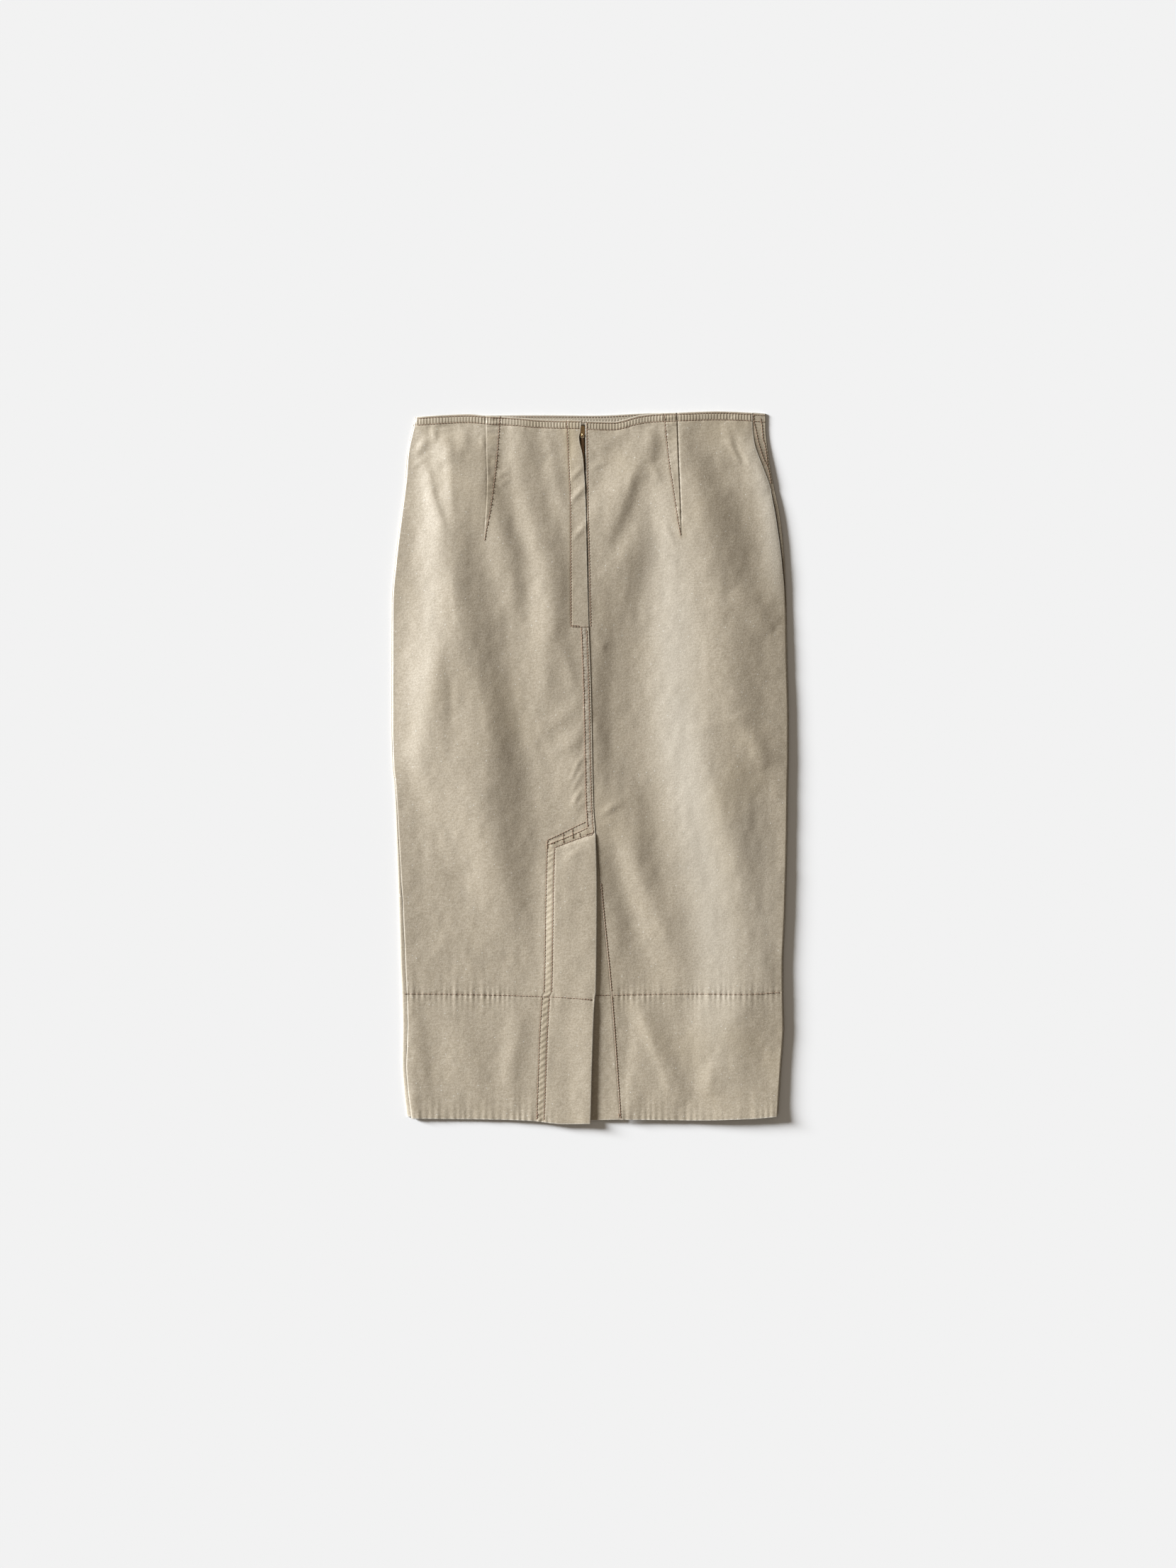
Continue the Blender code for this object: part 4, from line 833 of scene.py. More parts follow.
def makeCloth(name, look):
    made, tree, shader, place = newMaterial(name)
    noises = {kind: scaledNoise(tree, place, *settings) for kind, settings in clothNoises.items()}
    colour = look["base"]
    for kind, low, high, strength, tone in clothLayers:
        factor = combine(tree, "MULTIPLY", ramp(tree, noises[kind], low, high), strength)
        colour = mixColour(tree, factor, colour, look[tone])
    for painted, tone in paintLayers:
        colour = mixColour(tree, attribute(tree, painted), colour, look[tone])
    ropes = waves(tree, place, "X", waistEdge["ropePitch"])
    ropes = combine(tree, "MULTIPLY", ropes, attribute(tree, "ropes"))
    beads = combine(tree, "MULTIPLY", waves(tree, place, "Y", look["beadPitch"]), attribute(tree, "beads"))
    ladder = combine(tree, "ADD", ropes, beads)
    # painted shade in the valleys between the ropes and beads
    colour = mixColour(tree, combine(tree, "MULTIPLY", ladder, look["ladderValleyShade"]), colour, look["deep"])
    colour = mixColour(tree, paleSpecks(tree, place), colour, look["wornAndHighlight"])
    relief = combine(tree, "MULTIPLY", noises["slub"], 1.2)
    relief = combine(tree, "ADD", relief, combine(tree, "ADD", noises["threads"], noises["warp"]))
    relief = combine(tree, "ADD", relief, combine(tree, "MULTIPLY", noises["fleck"], 1.5))
    relief = combine(tree, "SUBTRACT", relief, combine(tree, "MULTIPLY", ladder, 1.5))
    surface(tree, shader, colour, relief, look["bump"], look["bumpDepth"])
    roughen(tree, shader, noises["mottle"], look["roughness"] - 0.08, look["roughness"] + 0.1)
    setInputs(shader, {"Sheen Weight": look["sheen"], "Sheen Roughness": look["sheenRoughness"],
                       "IOR": look["bend"]})
    return made


outerCloth = makeCloth("khakiSateen", clothLook)
print("cloth finished")


# what is painted on the back: how strongly each line is made paler by wear and painted highlights, made
# darker by painted shade and dark seam lines, tinted or sewn

marking = {
    "waistHighlight": 0.35, "hemWear": 0.7, "sideHighlight": 0.5, "lapWear": 0.3, "flapWear": 0.4, "edgeReach": 0.9,
    "rimReach": 2.6, "rimShadeFade": 0.85, "rimFadeFrom": 640, "sideSeamDark": 0.7, "lapShadow": 0.6, "ventSeamDark": 0.3,
    "rowThread": 0.35, "threadReach": 0.8, "bandThread": 0.15, "farThread": 2.3, "ventThread": 0.25,
    "slantThread": 0.3, "seamThread": 0.45, "beadHighlight": 0.35, "waistTint": 0.5, "lapTint": 0.55,
    "rowTint": 0.3, "dartTint": 0.4, "ventTint": 0.35, "slantTint": 0.4, "tickShade": 0.55,
}


def paint(piece, name, values):
    # one number a point, for the outer face; the inner face takes 0
    layer = piece.data.attributes.new(name, "FLOAT", "POINT")
    full = np.zeros(len(piece.data.vertices))
    full[:values.size] = np.clip(values, 0, 1).ravel()
    layer.data.foreach_set("value", full)


def edgeMark(distance):
    return bell(distance / marking["edgeReach"])


def threadMark(distance):
    return bell(distance / marking["threadReach"])


def rimShade(rim, down, fadeLow):
    # painted shade along the side fold; on the left it fades out low down
    return bell(rim / marking["rimReach"]) * (
        1 - marking["rimShadeFade"] * fadeLow * ease((down - marking["rimFadeFrom"]) / 40))


def markDart(marks, across, down, side):
    dart = darts[side]
    inside, width = dartPlace(across, down, side)
    short = fade(down, dart["end"] - 6, dart["end"])
    ticks = np.clip(wave(down + 0.3 * inside, dartShape["tickPitch"]), 0, 1) ** 2
    middle = (inside - width / 2) / (width / 2)
    # painted shade in the groove along the dart's seam
    marks["shadeAndDarkSeams"] += dart["seamShade"] * bell(inside + 0.7) * short
    # painted shade over the dart's wedge and its crease ticks
    marks["shadeAndDarkSeams"] += (0.1 + marking["tickShade"] * ticks) * bell(middle) * (inside > 0) * short
    marks["sewn"] += dart["rowThread"] * threadMark(inside - width) * short
    patchy = np.clip(softNoise(across, down, 13, 62) + 0.4, 0, 1)
    marks["tint"] += marking["dartTint"] * bell((inside - width / 2) / 6) * short * patchy


def markLap(marks, across, down):
    fromRow = across - read(lap["row"], "across", down)
    marks["tint"] += marking["lapTint"] * bell((fromRow - 4) / 10) * fade(down, 30, 110)
    marks["tint"] += marking["rowTint"] * bell(fromRow / 3) * fade(down, 246, 250)
    marks["sewn"] += marking["rowThread"] * threadMark(fromRow) * onZip(down)
    inward = centreEdge(down, -1) - across
    rows = threadMark(inward - lap["rowNear"]) + marking["farThread"] * bell((inward - lap["rowFar"]) / 1.1)
    marks["sewn"] += marking["rowThread"] * onSeam(down) * rows
    marks["beads"] += onSeam(down) * bell((inward - lap["ladderAt"]) / 2.0)
    # painted highlight on the beads between the seam's rows
    marks["wearAndHighlight"] += marking["beadHighlight"] * marks["beads"]


def markVent(marks, across, down):
    fromRow = across - read(vent["row"], "across", down)
    slant = slantPlace(across, down)
    rows = threadMark(fromRow) + threadMark(fromRow + vent["rowGap"])
    marks["sewn"] += marking["ventThread"] * onUpright(down) * rows
    rows = edgeMark(slant) + edgeMark(slant + vent["slantGap"])
    marks["sewn"] += marking["slantThread"] * onSlant(across) * rows
    marks["tint"] += marking["ventTint"] * bell((fromRow + 4.3) / 3.6) * ease((down - 500) / 8)
    marks["tint"] += marking["slantTint"] * bell((slant + 5) / 4.5) * ease((across + 54) / 6)


def paintBack(piece, across, down, side):
    depth = down - downAt(waists[side], across)
    toHem = downAt(hems[side], across) - down
    fromEdge = np.abs(across - centreEdge(down, side))
    fromSide = np.abs(across - backStart(down, side))
    rim = np.abs(across - sideEdge(down, side))
    first, second = waistEdge["rowOne"], waistEdge["rowTwo"]
    marks = {
        # painted highlights along the waist edge and the back's side edge; the hem edge is paler with wear
        "wearAndHighlight": marking["waistHighlight"] * edgeMark(depth) + marking["hemWear"] * bell(toHem)
                + marking["sideHighlight"] * bell(fromSide / 0.8) * (rim > 4),
        # painted shade along the side fold
        "shadeAndDarkSeams": rimShade(rim, down, side < 0),
        "tint": marking["waistTint"] * bell((depth - 6) / 5) * (0.5 + 0.5 * softNoise(across, down, 25, 61)),
        "sewn": marking["rowThread"] * (threadMark(depth - first) + threadMark(depth - second)),
        "ropes": ease((depth - 1.6) / 1.2) * (1 - ease((depth - second + 0.6) / 1.2)),
        "beads": 0 * down,
    }
    seamRow = downAt(bandSeams[side], across) + bandForm["seamRow"]
    marks["sewn"] += marking["bandThread"] * edgeMark(down - seamRow)
    if side < 0:
        marks["wearAndHighlight"] += (marking["lapWear"] + marking["flapWear"] * (down > 480)) * edgeMark(fromEdge)
        # darker line along the left side seam
        marks["shadeAndDarkSeams"] += marking["sideSeamDark"] * edgeMark(fromSide) * (rim > 2)
        markLap(marks, across, down)
        markVent(marks, across, down)
    else:
        # painted shadow of the lap on the right panel's edge beside the zip
        marks["shadeAndDarkSeams"] += marking["lapShadow"] * edgeMark(fromEdge) * fade(down, 249, 252)
        # darker along the right panel's edge beside the vent
        marks["shadeAndDarkSeams"] += marking["ventSeamDark"] * edgeMark(fromEdge) * (down > 489)
        marks["sewn"] += marking["seamThread"] * bell(fromEdge - 1.1) * ease((down - 546) / 6)
    markDart(marks, across, down, side)
    # painted highlights on the hips and ridges
    for streak in paintedHighlights:
        marks["wearAndHighlight"] += foldHeight(streak, across, down)
    for name, values in marks.items():
        paint(piece, name, values)


# meshes

meshing = {"reach": 6.0, "rounds": 6, "innerStride": 3, "sharpAngle": 50, "halfGap": 0.04}


def stations(length, step, fineStart=None, fineEnd=None):
    # places along a stretch from 0 to 1, close together near its ends
    reach = meshing["reach"]
    fineStart, fineEnd = fineStart or step, fineEnd or step
    at = [0.0]
    while at[-1] < length:
        left = max(0, length - at[-1])
        here = min(step, fineStart + (step - fineStart) * min(1, at[-1] / reach))
        at.append(at[-1] + min(here, fineEnd + (step - fineEnd) * min(1, left / reach)))
    return np.array(at) / at[-1]


def joinStations(*stretches):
    # several stretches of stations end to end, from 0 to 1
    total, at, places = sum(s[0] for s in stretches), 0.0, [0.0]
    for length, *steps in stretches:
        places += list((at + stations(length, *steps)[1:] * length) / total)
        at += length
    return np.array(places)


def line(rows, shift=0.0):
    return lambda across: downAt(rows, across) + shift


def settle(upper, lower, rows, columns, acrossAt, rounds=5):
    # across and down of a grid whose columns lean with the cloth, from its upper to its lower edge
    down = np.zeros((len(rows), columns))
    for _ in range(rounds):
        across = acrossAt(down)
        top, bottom = upper(across), lower(across)
        down = top + (bottom - top) * rows[:, None]
    return across, down


def toWorld(across, down, height):
    return np.stack([across * mm, (skirtLength / 2 - down) * mm, height * mm], -1)


def quads(index):
    return np.stack([index[:-1, :-1], index[:-1, 1:], index[1:, 1:], index[1:, :-1]], -1).reshape(-1, 4)


def dressPiece(piece, body, slot, *nodes):
    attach(piece, body)
    if nodes:
        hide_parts(*nodes)
    print(piece.name, "made,", len(piece.data.polygons), "faces")
    return piece


def clothWall(name, across, down, height, inward, node):
    # a closed wall: a fine outer face, and a coarser inner one a cloth's thickness behind it
    outer = toWorld(across, down, height)
    rows, columns = across.shape
    normal = np.cross(np.gradient(outer, axis=1, edge_order=2), np.gradient(outer, axis=0, edge_order=2))
    normal = normal / np.linalg.norm(normal, axis=-1, keepdims=True) * inward
    rowPicks = sorted(set(range(0, rows, meshing["innerStride"])) | {rows - 1})
    columnPicks = sorted(set(range(0, columns, meshing["innerStride"])) | {columns - 1})
    inner = (outer + normal * form["cloth"] * mm)[np.ix_(rowPicks, columnPicks)]
    outerIndex = np.arange(rows * columns).reshape(rows, columns)
    innerIndex = rows * columns + np.arange(len(rowPicks) * len(columnPicks)).reshape(inner.shape[:2])
    faces = quads(outerIndex).tolist() + quads(innerIndex)[:, [0, 3, 2, 1]].tolist()

    def border(outerLine, innerLine, picks):
        for k in range(len(picks) - 1):
            span = outerLine[picks[k]:picks[k + 1] + 1].tolist()
            faces.append(span[::-1] + [int(innerLine[k]), int(innerLine[k + 1])])

    border(outerIndex[0], innerIndex[0], columnPicks)
    border(outerIndex[:, -1], innerIndex[:, -1], rowPicks)
    border(outerIndex[-1, ::-1], innerIndex[-1, ::-1], [columns - 1 - p for p in columnPicks[::-1]])
    border(outerIndex[::-1, 0], innerIndex[::-1, 0], [rows - 1 - p for p in rowPicks[::-1]])
    if inward > 0:
        faces = [face[::-1] for face in faces]
    mesh = bpy.data.meshes.new(name)
    mesh.from_pydata(np.concatenate([outer.reshape(-1, 3), inner.reshape(-1, 3)]).tolist(), [], faces)
    mesh.materials.append(outerCloth)
    mesh.shade_smooth()
    mesh.set_sharp_from_angle(angle=math.radians(meshing["sharpAngle"]))
    return dressPiece(addObject(name, mesh), "skirt", "cloth", node)


# the back; each stretch of columns has a length, then its fine steps at its start and end

innerGuide = {   # the left back's columns run along the lap's row and the vent's
    "down": [0, 62, 109, 249, 300, 480, 505, 553, 672, 679, 820],
    "across": [-26.5, -24, -22, -21.4, -22, -38, -40.5, -42, -44, -46.5, -52.7],
}
backs = {
    -1: {
        "stretches": [(99, 0.3, 0.45), (14, 0.45, 0.45), (84, 0.45, 0.45), (21, 0.45, 0.22)],
        "step": 1.1, "sideDrop": 0.45, "inward": 1, "flatPanel": (0.236, 0.672), "flatBand": (0.216, 0.147),
        "rows": [(13, 0.9, 0.25, 0.8), (460, 2.6, 0.9, 1.0), (34, 1.0), (163, 1.6, 1.0, 0.5)],
    },
    1: {
        "stretches": [(104, 0.3, 0.45), (14, 0.45, 0.45), (96, 0.6, 0.22)],
        "step": 0.95, "sideDrop": 0.0, "inward": -1, "flatPanel": (0.232, 0.672), "flatBand": (0.196, 0.146),
        "rows": [(13, 0.9, 0.25, 0.8), (657, 2.5, 0.9, 0.5)],
    },
}
backEdges = {"centreRoll": 0.25, "hemRoll": 0.35, "bandRows": (147, 1.2, 0.4, 0.25)}


def guidesOf(side, down):
    # the lines that a back piece's columns keep to, from its side seam to its centre edge
    seam = read(darts[side]["seam"], "across", down)
    further = np.maximum if side < 0 else np.minimum
    least = seam + darts[side]["towards"] * dartShape["least"]
    row = further(read(darts[side]["row"], "across", down), least)
    inner = [read(innerGuide, "across", down)] if side < 0 else []
    return np.array([backStart(down, side), seam, row, *inner, centreEdge(down, side)])


def makeBack(name, side, upper, lower, rows, node, turned):
    back = backs[side]
    columns = [0.0]
    for k, (length, fineStart, fineEnd) in enumerate(back["stretches"]):
        columns += list(k + stations(length, back["step"], fineStart, fineEnd)[1:])
    columns = np.array(columns)
    stretch = np.minimum(columns.astype(int), int(columns[-1]) - 1)
    picks = stretch[None, None, :].repeat(len(rows), 1)

    def acrossAt(down):
        guides = guidesOf(side, down)
        start, end = (np.take_along_axis(guides, picks + k, 0)[0] for k in (0, 1))
        return start + (end - start) * (columns - stretch)

    across, down = settle(upper, lower, rows, len(columns), acrossAt, meshing["rounds"])
    height = backHeight(across, down, side)
    height = height - edgeRoll(np.abs(across - centreEdge(down, side)), backEdges["centreRoll"])
    height = height - back["sideDrop"] * bell(np.abs(across - backStart(down, side)) / 0.8)
    if turned == "top":
        height = height - edgeRoll(down - upper(across))
    else:
        height = height - edgeRoll(lower(across) - down, backEdges["hemRoll"])
    piece = clothWall(name, across, down, height, back["inward"], node)
    paintBack(piece, across, down, side)
    return piece


def makePanel(name, side, node):
    rows = joinStations(*backs[side]["rows"])
    lower = line(bandSeams[side], -meshing["halfGap"])
    return makeBack(name, side, line(waists[side]), lower, rows, node, "top")


def makeBand(name, side, node):
    rows = joinStations(backEdges["bandRows"])
    upper = line(bandSeams[side], meshing["halfGap"])
    return makeBack(name, side, upper, line(hems[side]), rows, node, "bottom")


leftPanel = makePanel("backLeftPanel", -1, "back_left_panel")
rightPanel = makePanel("backRightPanel", 1, "back_right_panel")
leftBand = makeBand("backLeftBand", -1, "back_left_hem_band")
rightBand = makeBand("backRightBand", 1, "back_right_hem_band")

# the front, which lies under the back and turns up round its sides

front = {
    "turn": 8, "up": {-1: 9, 1: 24}, "crowding": 1.6, "floorWidth": 440, "floorStep": 5.0, "floorFine": 1.0,
    "stripDrop": 0.35, "waveRise": 0.9, "waveCell": 60, "waveFrom": 0.1, "clear": 8, "clearFade": 30,
    "panelRows": [(13, 1.2, 0.4, 1.2), (655, 3.2, 1.2, 0.8)], "bandRows": [(146, 3.0, 0.8, 0.4)],
    "waistHighlight": 0.3, "flatPanel": (0.490, 0.675), "flatBand": (0.470, 0.149),
}


def stripHeight(across, down, side, inward):
    # the front's edge on the top side lies a little lower than the back's
    return shellHeight(across, down, side) - front["stripDrop"] * ease(inward / 2)


def frontPlaces(upper, lower, rows):
    # columns from the left side seam, down round the fold, over the floor and up to the right seam
    turns = np.linspace(0, 1, front["turn"])[1:] * math.pi / 2
    ups = {side: np.linspace(0, 1, count) for side, count in front["up"].items()}
    floor = stations(front["floorWidth"], front["floorStep"], front["floorFine"], front["floorFine"])[1:-1]
    counts = {side: len(up) + len(turns) for side, up in ups.items()}
    total = counts[-1] + len(floor) + counts[1]
    middle = slice(counts[-1], total - counts[1])
    height = np.zeros((len(rows), total))
    edges = {}

    def acrossAt(down):
        across = np.zeros_like(down)
        for side, up in ups.items():
            edge = edges[side] = sideEdge(down, side)
            half = topHeight(edge, down, side) * form["widest"]
            inset = seamInset(down, side)
            picks = np.arange(counts[side]) if side < 0 else total - 1 - np.arange(counts[side])
            for share, at in zip(up, picks):
                inward = inset[:, at] * (1 - share) ** front["crowding"]
                across[:, at] = edge[:, at] - side * inward
                height[:, at] = stripHeight(across[:, at], down[:, at], side, inward)
            for angle, at in zip(turns, picks[len(up):]):
                across[:, at] = edge[:, at] - side * form["sideRound"] * (1 - math.cos(angle))
                height[:, at] = half[:, at] * (1 - math.sin(angle))
        first, last = across[:, [middle.start - 1]], across[:, [middle.stop]]
        across[:, middle] = first + (last - first) * floor
        return across

    across, down = settle(upper, lower, rows, total, acrossAt)
    places, depths = across[:, middle], down[:, middle]
    lift = np.clip(softNoise(places, depths, front["waveCell"], 71, 3.0) - front["waveFrom"], 0, None)
    inside = np.minimum(places - edges[-1][:, middle], edges[1][:, middle] - places) - front["clear"]
    height[:, middle] = front["waveRise"] * lift * ease(inside / front["clearFade"])
    return across, down, height


def makeFront(name, upper, lower, rows, node, turned):
    across, down, height = frontPlaces(upper, lower, joinStations(*rows))
    piece = clothWall(name, across, down, height, -1, node)
    if turned == "top":
        # painted highlight along the front's waist edge
        paint(piece, "wearAndHighlight", front["waistHighlight"] * edgeMark(down - upper(across)))
    else:
        paint(piece, "wearAndHighlight", marking["hemWear"] * bell(lower(across) - down))
    rim = np.minimum(across - sideEdge(down, -1), sideEdge(down, 1) - across)
    # painted shade along the side fold
    paint(piece, "shadeAndDarkSeams", rimShade(np.clip(rim, 0, None), down, across < 0))
    return piece


frontPanel = makeFront("frontPanel", line(waistFront), line(bandSeamFront, -meshing["halfGap"]),
                       front["panelRows"], "front_panel", "top")
frontBand = makeFront("frontBand", line(bandSeamFront, meshing["halfGap"]), line(hemFront),
                      front["bandRows"], "front_hem_band", "bottom")

# the vent's underlay, under the flap

underlay = {
    "hiddenHeight": 2.6, "hiddenWidth": 52.0, "riseWidth": 24, "openWidth": 9.0, "sunk": 0.6,
    "flapGap": 0.5, "bandGap": 1.0, "hiddenColumns": 10, "openColumns": 44, "ripple": 0.14,
    "panelRows": (186, 2.4, 0.8, 0.6), "bandRows": (146, 2.2, 0.6, 0.3), "hemWear": 0.6,
    "flatPanel": (0.082, 0.186), "flatBand": (0.090, 0.146),
}


def underlayHeight(across, down):
    # low at its hidden edge, just under the flap's edge, then a little under the right panel at its seam
    seam, flap = centreEdge(down, 1) - form["seamGap"], centreEdge(down, -1)
    level = shellHeight(seam, down, 1) - underlay["sunk"] * ease((down - 540) / 80)
    gap = underlay["flapGap"] + underlay["bandGap"] * ease((down - 680) / 30)
    under = topHeight(flap, down, -1) - form["cloth"] - gap
    lowest, rise = underlay["hiddenHeight"], underlay["riseWidth"]
    hidden = lowest + (under - lowest) * ease((across - flap + rise) / rise)
    shown = under + (level - under) * ease((across - flap) / (seam - flap))
    ripple = softNoise(across, down, 14, 81, 1.6) + 0.6 * softNoise(across, down, 6, 82, 1.2)
    height = np.where(across < flap, hidden, shown) + underlay["ripple"] * ripple
    return height + groove(seam - across, 0.15, 0.7)


def makeUnderlay(name, upper, lower, rows, node, hemmed):
    shares = np.concatenate([np.linspace(0, 1, underlay["hiddenColumns"])[:-1],
                             np.linspace(1, 2, underlay["openColumns"])])

    def acrossAt(down):
        flap, seam = centreEdge(down, -1), centreEdge(down, 1) - form["seamGap"]
        rising = seam - np.maximum(underlay["openWidth"], seam - flap)
        hidden = flap - underlay["hiddenWidth"]
        under, beside = hidden + (rising - hidden) * shares, rising + (seam - rising) * (shares - 1)
        return np.where(shares <= 1, under, beside)

    across, down = settle(upper, lower, joinStations(rows), len(shares), acrossAt)
    height, toEnd = underlayHeight(across, down), lower(across) - down
    if hemmed:
        height = height - edgeRoll(toEnd)
    piece = clothWall(name, across, down, height, 1, node)
    paint(piece, "wearAndHighlight", underlay["hemWear"] * edgeMark(toEnd) * hemmed)
    return piece


ventUnderlay = makeUnderlay("ventUnderlay", line(ventTop), line(bandSeamRight, -meshing["halfGap"]),
                            underlay["panelRows"], "vent_underlay", False)
underlayBand = makeUnderlay("ventUnderlayBand", line(bandSeamRight, meshing["halfGap"]), line(hemRight),
                            underlay["bandRows"], "vent_underlay_band", True)

# the front's turned-down waist edge

facing = {
    "top": 2.75, "depth": 11.0, "inset": 46.0, "at": 8.0, "step": 1.1, "rows": (11.0, 0.8, 0.25, 0.5),
    "rowOne": 2.2, "rowTwo": 8.6, "rowDepth": 0.15, "ropeRise": 0.16, "roll": 0.4, "flat": (0.313, 0.011),
}


def facingHeight(across, depth):
    between = ease((depth - 1.2) / 1.5) * fade(depth, 7, 8.6)
    ropes = facing["ropeRise"] * wave(across + 0.4 * depth, waistEdge["ropePitch"]) * between
    height = facing["top"] + ropes
    for row in ("rowOne", "rowTwo"):
        height = height + groove(depth - facing[row], facing["rowDepth"])
    return height


def makeFacing():
    left, right = (float(sideEdge(facing["at"], side)) - side * facing["inset"] for side in (-1, 1))
    across = left + (right - left) * stations(right - left, facing["step"])
    depth = facing["depth"] * joinStations(facing["rows"])[:, None]
    across, depth = np.broadcast_arrays(across, depth)
    height = facingHeight(across, depth) - edgeRoll(depth, facing["roll"])
    piece = clothWall("frontWaistFacing", across, downAt(waistFront, across) + depth, height, 1,
                      "front_waist_facing")
    paint(piece, "wearAndHighlight", 0.8 * edgeMark(depth) + 0.15)
    paint(piece, "ropes", ease((depth - 1.6) / 1.2) * fade(depth, 8.0, 9.2))
    return piece


frontFacing = makeFacing()

# stitches, as one thread that dips into the cloth at each hole

stitching = {
    "pitch": 3.4, "radius": 0.42, "sides": 5, "ringsEach": 8, "proud": 0.12, "holeWidth": 0.75, "sink": 0.18,
    "pinch": 0.35, "guideStep": 12.0, "curveStep": 1.5,
    "thread": (0.22, 0.125, 0.07), "light": (0.30, 0.19, 0.115),
    "faded": (0.38, 0.28, 0.19), "pitShade": (0.05, 0.03, 0.02), "roughness": 0.6, "sheen": 0.2,
}


def makeThread():
    made, tree, shader, place = newMaterial("brownThread")
    twist = scaledNoise(tree, place, (1800, 1800, 1800), 2, 0.6)
    fading = ramp(tree, scaledNoise(tree, place, (45, 45, 45), 2, 0.5), 0.5, 0.85)
    colour = mixColour(tree, ramp(tree, twist, 0.35, 0.75), stitching["thread"], stitching["light"])
    colour = mixColour(tree, combine(tree, "MULTIPLY", fading, 0.5), colour, stitching["faded"])
    # painted shade in the holes where the thread dips into the cloth
    colour = mixColour(tree, attribute(tree, "pitShade"), colour, stitching["pitShade"])
    surface(tree, shader, colour, twist, 0.4, 0.0001)
    setInputs(shader, {"Roughness": stitching["roughness"], "Sheen Weight": stitching["sheen"]})
    return made


brownThread = makeThread()


def sewRow(points, heightAt):
    # points, faces and the painted shade at the holes of one row of stitches laid on a surface
    points = np.array(points, float)
    path = routeOf(points, max(12, int(lengthAlong(points)[-1] / stitching["curveStep"])))
    length = lengthAlong(path)
    count = max(1, round(length[-1] / stitching["pitch"]))
    pitch = length[-1] / count
    along = np.linspace(0, length[-1], count * stitching["ringsEach"] + 1)
    across, down = (np.interp(along, length, path[:, k]) for k in (0, 1))
    fromHole = np.abs((along / pitch + 0.5) % 1 - 0.5) * pitch
    pitShade = bell(fromHole / stitching["holeWidth"])
    radius = stitching["radius"] * (1 - stitching["pinch"] * pitShade)
    height = heightAt(across, down) + stitching["proud"] - stitching["sink"] * pitShade
    run = np.stack([np.gradient(across), np.gradient(down)], -1)
    run = run / np.linalg.norm(run, axis=-1, keepdims=True)
    turn = np.linspace(0, 2 * math.pi, stitching["sides"], endpoint=False)
    sideways, up = radius[:, None] * np.cos(turn), radius[:, None] * np.sin(turn)
    verts = toWorld(across[:, None] - run[:, 1:] * sideways, down[:, None] + run[:, :1] * sideways,
                    height[:, None] + up)
    index = np.arange(len(along) * len(turn)).reshape(len(along), len(turn))
    rolled = np.roll(index, -1, axis=1)
    faces = np.stack([index[:-1], index[1:], rolled[1:], rolled[:-1]], -1).reshape(-1, 4).tolist()
    faces += [index[0].tolist(), index[-1, ::-1].tolist()]
    return verts.reshape(-1, 3), faces, np.repeat(pitShade, len(turn))


def sewRows(name, *groups):
    # each group is a surface and the rows sewn on it
    verts, faces, pits, start = [], [], [], 0
    for heightAt, rows in groups:
        for points in rows:
            places, around, pitShade = sewRow(points, heightAt)
            verts.append(places)
            pits.append(pitShade)
            faces += [[start + v for v in face] for face in around]
            start += len(places)
    mesh = bpy.data.meshes.new(name)
    mesh.from_pydata(np.concatenate(verts).tolist(), [], faces)
    mesh.materials.append(brownThread)
    mesh.shade_smooth()
    piece = addObject(name, mesh)
    paint(piece, "pitShade", np.concatenate(pits))
    return dressPiece(piece, "skirt", "cloth")


def guidePlaces(start, end):
    return np.linspace(start, end, max(2, int(abs(end - start) / stitching["guideStep"])))


def rowDown(rows, shift, start, end):
    # down a table's line, moved across
    return [(float(read(rows, "across", down)) + shift, down) for down in guidePlaces(start, end)]


def rowUnder(rows, shift, start, end):
    # along a line that crosses the skirt, moved down
    return [(across, float(downAt(rows, across)) + shift) for across in guidePlaces(start, end)]


def onLeft(across, down):
    return backHeight(across, down, -1)


def onRight(across, down):
    return backHeight(across, down, 1)


def onStrip(across, down):
    return stripHeight(across, down, 1, sideEdge(down, 1) - across)


def onFacing(across, down):
    return facingHeight(across, down - downAt(waistFront, across))


def underFront(across, down):
    return across * 0 - 2 * stitching["proud"]


